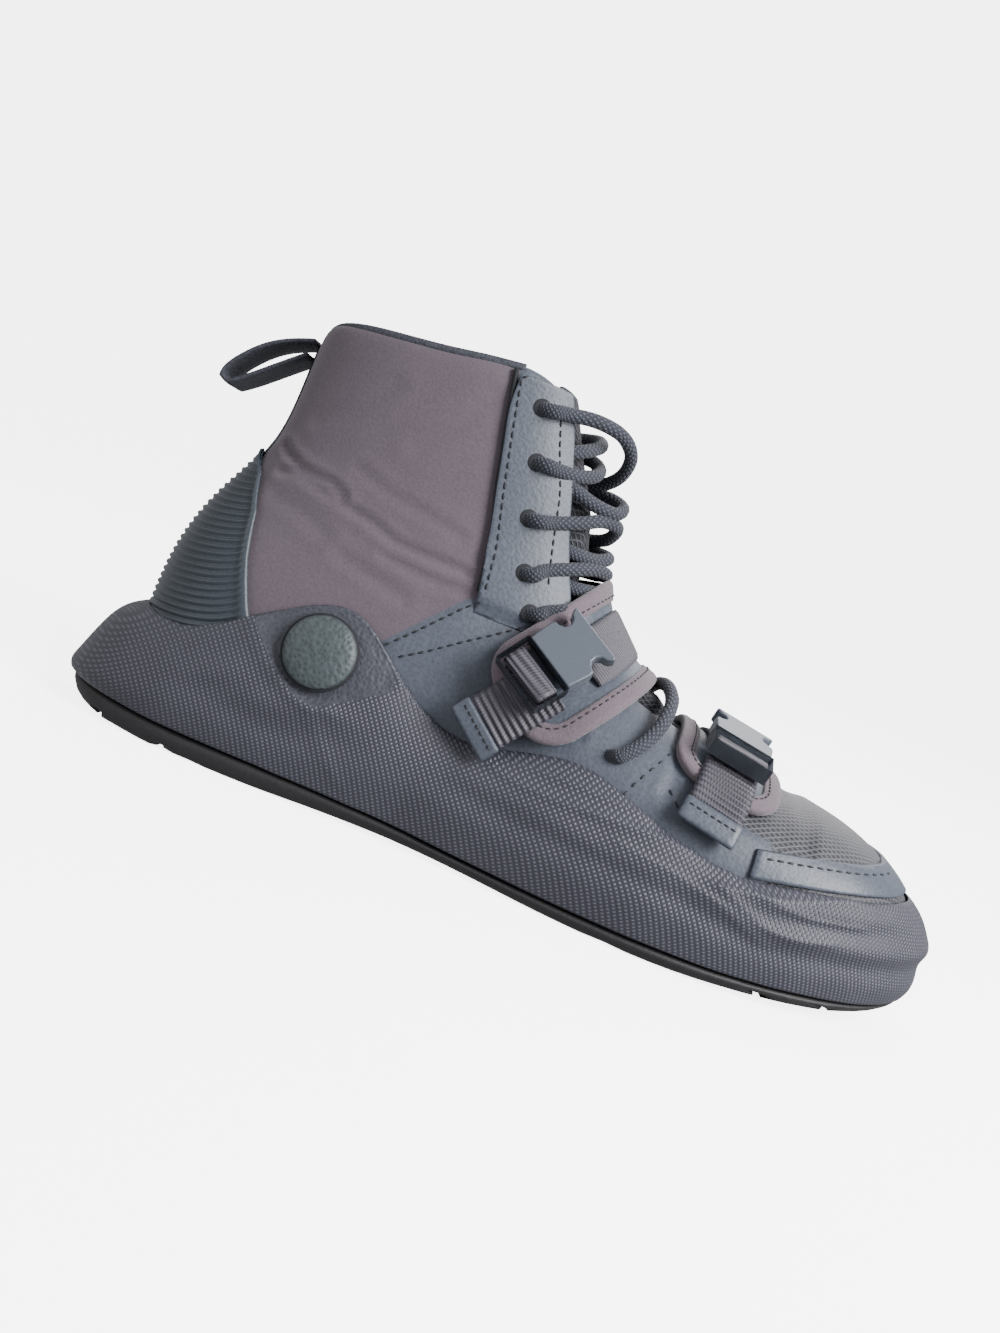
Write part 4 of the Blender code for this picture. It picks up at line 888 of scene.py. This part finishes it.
@dataclass
class Overlays:
    """Counter, toe guard, eyestays, tongue, insole and pull loop, with the edges that bind them."""

    ribs: int = 27
    counter_rows: tuple[Spot, ...] = (
        (0.236, 0.3), (0.265, 0.29), (0.35, 0.245), (0.43, 0.205), (0.52, 0.165), (0.60, 0.115), (0.645, 0.055))
    border: float = 0.9
    tape_reach: float = 139.0
    tongue_push: tuple[Spot, ...] = (
        (142.0, 0.0), (148.0, 3.0), (153.0, 5.5), (158.0, 5.0), (163.0, 3.0), (170.0, 1.5), (188.0, 1.5),
        (196.0, 5.5), (204.0, 6.5), (210.0, 3.0), (216.0, 0.0))
    stay_foot: tuple[Spot, ...] = ((100.0, 85.6), (136.1, 85.1), (141.0, 84.7), (147.2, 84.8), (153.1, 85.6),
                                   (160.0, 88.0), (175.0, 92.0))

    def counter(self, skin: Skin) -> None:
        """Ribbed counter with a smooth raised border."""
        heights = [row[0] for row in self.counter_rows]
        edges = [row[1] for row in self.counter_rows]

        def place(a: float, b: float) -> Vector:
            """A point of the counter's outside."""
            out = abs(2.0 * a - 1.0)
            low = 0.236 + 0.08 * out ** 3
            h = low + (0.645 - low) * b
            share = float(np.interp(h, heights, edges)) * out / 0.29
            turn = math.radians(180.0 - 106.0 * min(share, 1.0))
            side = -1.0 if a < 0.5 else 1.0
            start = at(64.0 + 11.0 * b, 0.0, h * HEIGHT)
            way = Vector((math.cos(turn), side * math.sin(turn), 0.0))
            point, normal = skin.ray(start + way * 0.12, -way)
            smooth = min(max((out - self.border) / 0.03, 0.0), 1.0)
            crown = math.sin(math.pi * min(max((out - self.border) / (1.0 - self.border), 0.0), 1.0))
            smooth = max(smooth, min(max((b - 0.93) / 0.02, 0.0), 1.0))
            rib = 0.5 - 0.5 * math.cos(2.0 * math.pi * self.ribs * b)
            return point + normal * (1.3 + 0.85 * rib * (1.0 - smooth) + 0.6 * smooth + 0.7 * crown) * MM

        piece = mapped("ribbed_counter", 72, self.ribs * 6, place, (95.0, 62.0), wall=1.2)
        adopt(piece, COUNTER, "counter_rubber", "heel_counter")

    def collar(self) -> None:
        """Tape folded over the collar's top edge, from one eyestay round the back to the other."""
        points = read_points(bpy.data.objects["upper_shell"].data)[0]
        middle = at(92.0, 0.0, 0.0)
        turns = np.arctan2(points[:, 1] - middle.y, -(points[:, 0] - middle.x))
        rim = []
        for turn in np.radians(np.linspace(-self.tape_reach, self.tape_reach, 43)):
            near = points[(np.abs(turns - turn) < 0.05) & (points[:, 2] > 0.14)]
            if len(near):
                top = near[near[:, 2] > near[:, 2].max() - 0.0012]
                away = float(np.hypot(top[:, 0] - middle.x, top[:, 1] - middle.y).mean())
                rim.append((-math.cos(turn) * away, math.sin(turn) * away, float(top[:, 2].mean())))
        line = np.array(rim)
        for _ in range(3):
            line[1:-1] = (line[:-2] + 2.0 * line[1:-1] + line[2:]) / 4.0
        path = flow([Vector((x + middle.x, y + middle.y, z - 0.0002)) for x, y, z in line], 3)
        adopt(tube("collar_tape", path, 1.75, 10), TAPE, "knit")

    @staticmethod
    def trim(piece: bpy.types.Object, spot: Spot, slope: Spot) -> None:
        """Cut a piece along a line across the shoe, and close the cut.

        Args:
            piece: What is cut.
            spot: Station and height of a place on the line.
            slope: The way that points into the side that stays.
        """
        bm = bmesh.new()
        bm.from_mesh(piece.data)
        bmesh.ops.bisect_plane(bm, geom=[*bm.verts, *bm.edges, *bm.faces], dist=0.000001,
                               plane_co=at(spot[0], 0.0, spot[1]), plane_no=(slope[0], 0.0, slope[1]),
                               clear_inner=True)
        bmesh.ops.holes_fill(bm, edges=[e for e in bm.edges if e.is_boundary], sides=0)
        bm.to_mesh(piece.data)
        bm.free()

    def build(self, skin: Skin) -> None:
        """All of them, laid on the upper."""
        self.counter(skin)
        self.collar()
        guard = settle(smooth_copy("toe_guard", "leather_toe_guard", 2, 50.0))
        self.trim(guard, (246.7, 45.0), (0.16, -1.0))
        adopt(guard, LEATHER, "leather", "toe_guard")
        adopt(smooth_copy("insole", "lined_insole", 2, 60.0), LINING, "mesh", "insole")
        loop = smooth_copy("pull_loop", "webbing_pull_loop", 2, 60.0)
        adopt(loop, TAPE, "webbing", "pull_loop")
        tongue = settle(smooth_copy("tongue", "padded_tongue", 2, 120.0))
        for vert in tongue.data.vertices:
            x, y = vert.co.x / MM + HEEL_TO_MIDDLE, abs(vert.co.y / MM + SIDE_SHIFT)
            push = float(np.interp(x, *zip(*self.tongue_push))) * min(max((18.0 - y) / 8.0, 0.0), 1.0)
            vert.co += (vert.co - hollow_at(vert.co)).normalized() * push * MM
        adopt(tongue, MESH, "mesh", "tongue")
        for side, word in ((L, "lateral"), (R, "medial")):
            stay = settle(smooth_copy("eyestay_" + word, "leather_eyestay_" + word, 3, 40.0))
            self.trim(stay, (134.0, 82.0), (0.0, 1.0))
            self.trim(stay, (134.9, 86.0), (0.977, 0.212))
            for vert in stay.data.vertices:
                under = float(np.interp(vert.co.x / MM + HEEL_TO_MIDDLE, *zip(*self.stay_foot))) - vert.co.z / MM
                sink = 2.6 * min(max(under / 1.5, 0.0), 1.0)
                vert.co -= (vert.co - hollow_at(vert.co)).normalized() * sink * MM
            adopt(stay, LEATHER, "leather", "eyestay_" + word)
            rear = [(134.0, 87.0), (132.0, 102.6), (127.2, 121.8), (122.8, 141.6), (119.4, 158.6)]
            path = flow([point for point, _ in skin.run(rear, side, 9.0, 1.2)], 4)
            adopt(tube("eyestay_piping_" + word, path, 0.85, 8), DARK_EDGE_AND_SHADE, "leather")
        back = [skin.ray(at(-40.0, 0.0, z), Vector((1.0, 0.0, 0.0)))[0] for z in range(104, 157, 7)]
        back = [point - Vector((0.7 * MM, 0.0, 0.0)) for point in back]
        adopt(tube("back_seam_piping", flow(back, 4), 1.5, 10), TAPE, "knit")


@dataclass
class Disc:
    """A domed rubber disc on the wing, turned as its CAD node is."""

    node_name: str
    radius: float = 12.2

    def build(self) -> None:
        """Spin the disc's section and set it where the CAD node stands."""
        points = np.array([v.co for v in frame["nodes"][self.node_name].data.vertices])
        centre = points.mean(axis=0)
        axes = np.linalg.svd(points - centre, full_matrices=False)[2]
        out = Vector(axes[2])
        if out.y * centre[1] < 0.0:
            out = -out
        base = Vector(centre) - out * (0.9 * MM)
        section = [(0.0, 3.1), (3.0, 3.0), (6.0, 2.75), (9.0, 2.25), (11.0, 1.6), (11.8, 1.1), (12.1, 0.5),
                   (12.1, -0.1), (12.7, 0.15), (12.9, -0.2), (12.9, -0.9), (0.0, -0.9)]
        bm = bmesh.new()
        verts = [bm.verts.new((r * MM, 0.0, h * MM)) for r, h in section]
        edges = [bm.edges.new(pair) for pair in zip(verts[:-1], verts[1:])]
        bmesh.ops.spin(bm, geom=verts + edges, cent=(0, 0, 0), axis=(0, 0, 1), steps=64,
                       angle=2.0 * math.pi, use_merge=True)
        bmesh.ops.remove_doubles(bm, verts=bm.verts, dist=0.00001)
        bmesh.ops.recalc_face_normals(bm, faces=bm.faces)
        # Faces past the dome's rim take the dark finish: a ring of painted shade standing for the groove round the
        # disc.
        for face in bm.faces:
            face.material_index = int(face.calc_center_median().xy.length > 12.15 * MM)
        place = Matrix.Translation(base) @ out.to_track_quat("Z", "Y").to_matrix().to_4x4()
        bmesh.ops.transform(bm, matrix=place, verts=bm.verts)
        disc = add_object("grained_" + self.node_name, bm)
        disc.data.materials.append(DISC.make())
        disc.data.materials.append(DARK_EDGE_AND_SHADE.make())
        adopt(disc, None, "disc_rubber", self.node_name)


Laid = Callable[[float, float, float], tuple[Vector, Vector]]


@dataclass(frozen=True)
class Strip:
    """One strip of a strap: its CAD node's end, limits in degrees, width, finish, wall and ribs."""

    part: str
    name: str
    limits: Spot
    width: float
    finish: Finish
    slot: str
    wall: float
    rise: float = 0.0
    degree: int = 4
    rib: float = 0.0
    step: float = 1.5
    levels: int = 0


@dataclass
class Strap:
    """One buckled strap: pad, suede binding, webbing, tail, tab and buckle."""

    name: str
    axis: Spot
    tilt: float
    lateral: float
    medial: float
    buckle: float
    anchor: float
    shift: float = 0.0
    width: float = 38.0
    corner: float = 13.0
    band: float = 6.6
    fold_at: tuple[float, ...] = (0.0, 0.07, 0.3, 0.55, 0.7, 0.8, 0.9, 1.0)

    def ways(self, angle: float) -> tuple[Vector, Vector]:
        """Directions along the strap's axis, and out from it at an angle."""
        tilt, turn = math.radians(self.tilt), math.radians(angle)
        along = Vector((math.cos(tilt), 0.0, -math.sin(tilt)))
        up = Vector((math.sin(tilt), 0.0, math.cos(tilt)))
        return along, Vector((0.0, -1.0, 0.0)) * math.cos(turn) + up * math.sin(turn)

    def foot(self, across: float, angle: float) -> tuple[Vector, Vector]:
        """The axis's point at a distance across the strap, and the way out at an angle."""
        along, way = self.ways(angle)
        return at(self.axis[0], 0.0, self.axis[1]) + along * (across + self.shift) * MM, way

    def sheet(self, part: str, limits: Spot, half: float, degree: int) -> Laid:
        """A smooth surface through the outside of a CAD node.

        Args:
            part: End of the CAD node's name.
            limits: Angles between which it is read.
            half: How far across it is read, each way.
            degree: How freely it may bend along the strap.

        Returns:
            A function of distance across, angle and rise, that gives a point and the normal there.
        """
        tree = Skin(smooth_temp(self.name + part, 2, 40.0)).trees[0]
        middle, span = (limits[0] + limits[1]) / 2.0, (limits[1] - limits[0]) / 2.0
        powers = [(i, j) for i in range(degree + 1) for j in range(3)]
        rows, radii = [], []
        for turn in np.linspace(-1.0, 1.0, 41):
            for share in np.linspace(-1.0, 1.0, 9):
                foot, way = self.foot(share * half, middle + span * turn)
                point, normal, _, _ = tree.ray_cast(foot + way * 0.13, -way)
                if point is not None and normal.dot(way) > 0.6:
                    rows.append([turn ** i * share ** j for i, j in powers])
                    radii.append((point - foot).dot(way))
        terms = np.linalg.lstsq(np.array(rows), np.array(radii), rcond=None)[0]

        def spot(across: float, angle: float) -> Vector:
            """A point of the smooth surface."""
            foot, way = self.foot(across, angle)
            turn, share = (angle - middle) / span, across / half
            return foot + way * float(sum(t * turn ** i * share ** j for t, (i, j) in zip(terms, powers)))

        def lifted(across: float, angle: float, rise: float) -> tuple[Vector, Vector]:
            """A point lifted off it by millimetres, with the normal there."""
            one = spot(across + 0.5, angle) - spot(across - 0.5, angle)
            two = spot(across, angle + 0.5) - spot(across, angle - 0.5)
            normal = one.cross(two).normalized()
            if normal.dot(self.ways(angle)[1]) < 0.0:
                normal = -normal
            return spot(across, angle) + normal * rise * MM, normal

        return lifted

    @staticmethod
    def ruler(laid: Laid, start: float, stop: float) -> tuple[np.ndarray, np.ndarray]:
        """Lengths along the middle of a laid surface and the angle at each."""
        angles = np.linspace(start, stop, 61)
        points = [laid(0.0, float(a), 0.0)[0] for a in angles]
        steps = [0.0] + [(b - a).length / MM for a, b in zip(points[:-1], points[1:])]
        return np.cumsum(steps), angles

    def outline(self, share: float, half: float, long: float, inset: float) -> Spot:
        """A place on the pad's rounded outline, drawn in by an inset."""
        corner = max(self.corner - inset, 0.5)
        w, h = half - inset - corner, long - inset - corner
        quarter = math.pi * corner / 2.0
        runs = [2 * h, quarter, 2 * w, quarter, 2 * h, quarter, 2 * w, quarter]
        s = (share % 1.0) * sum(runs)
        spots = [(w + corner, -h, 90.0), (w, h, 0.0), (w, h + corner, 180.0), (-w, h, 90.0),
                 (-w - corner, h, 270.0), (-w, -h, 180.0), (-w, -h - corner, 0.0), (w, -h, 270.0)]
        for k, (run, (x, y, turn)) in enumerate(zip(runs, spots)):
            if s <= run or k == 7:
                if k % 2 == 0:
                    a = math.radians(turn)
                    return x + math.cos(a) * s, y + math.sin(a) * s
                a = math.radians(turn) + s / corner
                return x + corner * math.cos(a), y + corner * math.sin(a)
            s -= run
        return 0.0, 0.0

    def pad(self) -> None:
        """Leather pad with its suede binding and the binding's stitches."""
        half = self.width / 2.0
        laid = self.sheet("_pad", (self.lateral + 1.5, self.medial - 1.5), half - 3.0, 9)
        lengths, angles = self.ruler(laid, self.lateral + 0.5, self.medial - 0.5)
        long = lengths[-1] / 2.0

        def angle(t: float) -> float:
            """The angle at a length from the strap's middle."""
            return float(np.interp(t + long, lengths, angles))

        def leather(a: float, b: float) -> Vector:
            """A point of the pad."""
            t = (2.0 * b - 1.0) * (long - 1.2)
            over = max(abs(t) - (long - self.corner), 0.0)
            wide = half - 1.2 - self.corner + math.sqrt(max(self.corner ** 2 - over ** 2, 0.0))
            return laid((2.0 * a - 1.0) * wide, angle(t), -0.1)[0]

        def binding(a: float, b: float) -> Vector:
            """A point of the binding: its inner edge first, then its crown, then down the pad's rim."""
            inset = float(np.interp(a, self.fold_at, (self.band, self.band - 0.3, self.band * 0.6, 1.6, 0.5, 0.0,
                                                      0.0, 0.6)))
            rise = float(np.interp(a, self.fold_at, (-0.3, 0.6, 0.95, 0.9, 0.5, -0.3, -1.4, -2.4)))
            x, t = self.outline(b, half, long, inset)
            return laid(x, angle(t), rise)[0]

        around = 4.0 * long + 4.0 * half
        pad = adopt(mapped(self.name + "_leather_pad", 12, 60, leather, (38.0, 2.0 * long), wall=2.0),
                    LEATHER, "leather", self.name + "_pad")
        band = mapped(self.name + "_suede_binding", 14, 180, binding, (self.band, around))
        weld(band)
        adopt(band, SUEDE, "suede")
        count = int(around / 2.9)
        rows = []
        for k in range(count):
            x, t = self.outline(k / (count - 1), half, long, self.band * 0.7)
            rows.append(laid(x, angle(t), 0.95))
        Thread(self.name + "_binding_stitches", 0.95, 0.3).build([rows])

    def strip(self, strip: Strip) -> Laid:
        """A strip of webbing or leather laid where its CAD node lies.

        Args:
            strip: What to lay.

        Returns:
            The surface that it lies on.
        """
        laid = self.sheet(strip.part, strip.limits, strip.width / 2.0 - 2.5, strip.degree)
        lengths, angles = self.ruler(laid, *strip.limits)
        long = float(lengths[-1])

        def place(a: float, b: float) -> Vector:
            """A point of the strip, with its two edges rolled down a little, and its ribs."""
            edge = abs(2.0 * a - 1.0)
            rise = strip.rise - 0.5 * max((edge - 0.85) / 0.15, 0.0) ** 2
            rise += strip.rib * math.cos(2.0 * math.pi * b * long / WEBBING.pitch)
            turn = float(np.interp(b * long, lengths, angles))
            return laid((a - 0.5) * strip.width, turn, rise)[0]

        piece = mapped(self.name + strip.name, 12, max(int(long / strip.step), 6), place, (strip.width, long),
                       strip.wall, levels=strip.levels)
        adopt(piece, strip.finish, strip.slot, self.name + strip.part)
        return laid

    def build(self) -> None:
        """The whole strap."""
        self.pad()
        self.strip(Strip("_webbing", "_top_webbing", (self.buckle + 12.0, self.medial - 6.5), 18.6, FINE_WEBBING,
                         "webbing", 1.2, degree=8))
        self.strip(Strip("_tail", "_ribbed_tail", (self.anchor + 7.5, self.buckle - 5.5), 18.6, WEBBING, "webbing",
                         1.2, degree=4, rib=0.3, step=0.38))
        laid = self.strip(Strip("_tab", "_leather_tab", (self.anchor + 0.4, self.anchor + 9.4), 20.6, LEATHER,
                                "leather", 2.6, rise=0.5, degree=2, step=1.4, levels=1))
        row = [laid(-8.4 + 2.4 * k, self.anchor + 6.2, 0.55) for k in range(8)]
        Thread(self.name + "_tab_stitches", 1.0, 0.36).build([row])
        Buckle(self.name).build()


def smooth_temp(source: str, levels: int, sharp: float) -> bpy.types.Object:
    """A smooth copy of a CAD node that is only measured, kept out of the picture."""
    obj = smooth_copy(source, "measure_" + source, levels, sharp)
    obj.hide_render = True
    bpy.context.view_layer.update()
    return obj


def weld(obj: bpy.types.Object) -> None:
    """Merge the two ends of a strip that runs full circle."""
    bm = bmesh.new()
    bm.from_mesh(obj.data)
    bmesh.ops.remove_doubles(bm, verts=bm.verts, dist=0.00002)
    face_out(bm)
    bm.to_mesh(obj.data)
    bm.free()


@dataclass
class Buckle:
    """A side-release buckle: satin plug with two sprung prongs, in a ladder socket."""

    name: str
    thick: float = 5.4
    rounding: float = 0.8
    prong: tuple[Spot, ...] = (
        (9.6, 10.3), (1.2, 11.0), (-0.6, 10.6), (-0.9, 8.9), (-2.2, 7.3), (-4.2, 7.0), (-5.9, 8.0), (-6.7, 9.8),
        (-8.8, 11.2), (-9.4, 10.2))

    def frame(self) -> Matrix:
        """Where the buckle sits: X along the shoe, Y down the strap to the socket, Z outwards."""
        sets = [np.array([v.co for v in frame["nodes"][self.name + part].data.vertices])
                for part in ("_buckle_plug", "_buckle_socket")]
        plug, socket = (Vector(points.mean(axis=0)) for points in sets)
        both = np.concatenate(sets)
        out = Vector(np.linalg.svd(both - both.mean(axis=0), full_matrices=False)[2][2])
        if out.dot(plug - hollow_at(plug)) < 0.0:
            out = -out
        down = (socket - plug)
        down = (down - out * down.dot(out)).normalized()
        along = down.cross(out).normalized()
        base = plug + down * (9.2 * MM) - out * (3.1 * MM)
        return Matrix.Translation(base) @ Matrix((along, down, out)).transposed().to_4x4()

    def plate(self, outline: Sequence[Spot], thick: float, lift: float, rounding: float) -> bmesh.types.BMesh:
        """A moulded plate with rounded edges, from its outline."""
        bm = bmesh.new()
        face = bm.faces.new([bm.verts.new((x * MM, y * MM, lift * MM)) for x, y in outline])
        new = bmesh.ops.extrude_face_region(bm, geom=[face])["geom"]
        bmesh.ops.translate(bm, vec=(0, 0, thick * MM), verts=[v for v in new if isinstance(v, bmesh.types.BMVert)])
        bmesh.ops.recalc_face_normals(bm, faces=bm.faces)
        bmesh.ops.bevel(bm, geom=[e for e in bm.edges if e.calc_face_angle(0.0) > 0.9], offset=rounding * MM,
                        segments=3, profile=0.5, affect="EDGES", material=-1, clamp_overlap=True)
        return bm

    def ring(self, outline: Sequence[Spot], wall: float, low: float, high: float) -> bmesh.types.BMesh:
        """An open frame with rounded edges, from its outline, wall, and heights."""
        bm = bmesh.new()
        face = bm.faces.new([bm.verts.new((x * MM, y * MM, low * MM)) for x, y in outline])
        bmesh.ops.inset_region(bm, faces=[face], thickness=wall * MM, use_even_offset=True, use_boundary=True)
        bmesh.ops.delete(bm, geom=[face], context="FACES")
        new = bmesh.ops.extrude_face_region(bm, geom=list(bm.faces))["geom"]
        bmesh.ops.translate(bm, vec=(0, 0, (high - low) * MM), verts=[v for v in new
                                                                       if isinstance(v, bmesh.types.BMVert)])
        bmesh.ops.recalc_face_normals(bm, faces=bm.faces)
        bmesh.ops.bevel(bm, geom=[e for e in bm.edges if e.calc_face_angle(0.0) > 0.9], offset=0.4 * MM,
                        segments=2, profile=0.5, affect="EDGES", material=-1, clamp_overlap=True)
        return bm

    def dress(self, name: str, bm: bmesh.types.BMesh, place: Matrix, *nodes: str) -> bpy.types.Object:
        """Set a moulded piece on the strap, with its flat faces shaded flat."""
        bmesh.ops.transform(bm, matrix=place, verts=bm.verts)
        obj = adopt(add_object(self.name + name, bm), ACETAL, "buckle", *nodes)
        obj.modifiers.new("flat_faces", "WEIGHTED_NORMAL")
        return obj

    def build(self) -> None:
        """Plug, socket and the webbing rolled in the socket."""
        place = self.frame()
        half = [(w, y - 9.2) for y, w in self.prong]
        outline = half + [(-x, y) for x, y in reversed(half)]
        self.dress("_plug", self.plate(outline, self.thick, 0.3, self.rounding), place, self.name + "_buckle_plug")
        ladder = [(10.9, 0.4), (10.5, 13.2), (-10.5, 13.2), (-10.9, 0.4)]
        self.dress("_socket", self.ring(ladder, 1.2, 0.3, self.thick + 0.5), place, self.name + "_buckle_socket")
        self.roll(place)

    def roll(self, place: Matrix) -> None:
        """The webbing where it turns over the socket's bar."""
        def point(a: float, b: float) -> Vector:
            """A point of the flattened roll: along the bar, then round it."""
            turn = 2.0 * math.pi * b
            rib = 1.0 + 0.035 * math.cos(turn * 11.0)
            y = 7.2 + 4.0 * rib * math.copysign(abs(math.cos(turn)) ** 0.8, math.cos(turn))
            z = 2.9 + 2.1 * rib * math.copysign(abs(math.sin(turn)) ** 0.85, math.sin(turn))
            return place @ Vector(((a - 0.5) * 18.4 * MM, y * MM, z * MM))
        piece = mapped(self.name + "_webbing_roll", 12, 88, point, (18.4, 24.0), closed=True)
        adopt(piece, WEBBING, "webbing")


@dataclass
class Seams:
    """Stitch rows on the upper and its overlays."""

    pitch: float = 3.3

    def build(self, skin: Skin) -> None:
        """Rows on both sides of the shoe."""
        rows = {
            "quarter": [(112.0, 59.6), (118.6, 66.2), (126.4, 74.6), (132.6, 81.4), (136.8, 84.6)],
            "quarter_second": [(117.4, 57.6), (125.6, 62.8), (136.1, 70.4), (145.6, 76.9), (152.0, 81.5)],
            "eyestay_rear": [(136.4, 88.0), (134.6, 102.6), (129.8, 121.8), (125.4, 141.6), (122.2, 157.6),
                             (131.0, 158.8)],
            "eyestay_front": [(137.4, 152.6), (141.8, 139.9), (147.2, 126.6), (151.4, 108.6), (154.6, 97.0)],
            "vamp": [(201.0, 44.0), (206.0, 53.0), (212.4, 62.0)],
            "vamp_second": [(214.0, 52.0), (222.0, 44.0)],
            "patch": [(253.6, 46.6), (253.0, 42.0)],
            "toe": [(249.0, 43.2), (262.0, 45.3), (274.0, 47.2), (286.0, 49.1), (294.0, 50.3)],
        }
        runs = [skin.run(spots, side, self.pitch, 0.1) for spots in rows.values() for side in Side]
        Thread("upper_stitches").build(runs)


def main() -> None:
    """Build every sub-assembly in order and report it."""
    logging.basicConfig(level=logging.INFO, format="%(name)s %(message)s")
    Studio(Vector((0.0118, -0.385, 0.098)), Vector((0.933, 0.018, 0.360)), Vector((0.353, 0.161, -0.923))).build()
    shell = Skin(smooth_temp("upper", 2, 180.0), smooth_temp("eyestay_lateral", 1, 40.0),
                 smooth_temp("eyestay_medial", 1, 40.0))
    laces = Laces(shell)
    laces.build()
    laces.hole_shades()
    cup = CupSole().build()
    upper = Upper().build()
    skin = Skin(upper)
    Overlays().build(skin)
    for name in ("disc_lateral", "disc_medial"):
        Disc(name).build()
    Strap("instep", (152.5, 52.0), 38.0, 8.0, 176.0, 34.0, -12.0, shift=1.5).build()
    Strap("forefoot", (226.0, 36.0), 12.0, 26.0, 154.0, 50.0, 9.0).build()
    guard = bpy.data.objects["leather_toe_guard"]
    stays = [bpy.data.objects["leather_eyestay_" + word] for word in ("lateral", "medial")]
    Seams().build(Skin(upper, guard, cup, *stays))
    for obj in [o for o in bpy.data.objects if o.name.startswith("measure_")]:
        bpy.data.objects.remove(obj, do_unlink=True)


if __name__ == "__main__":
    main()
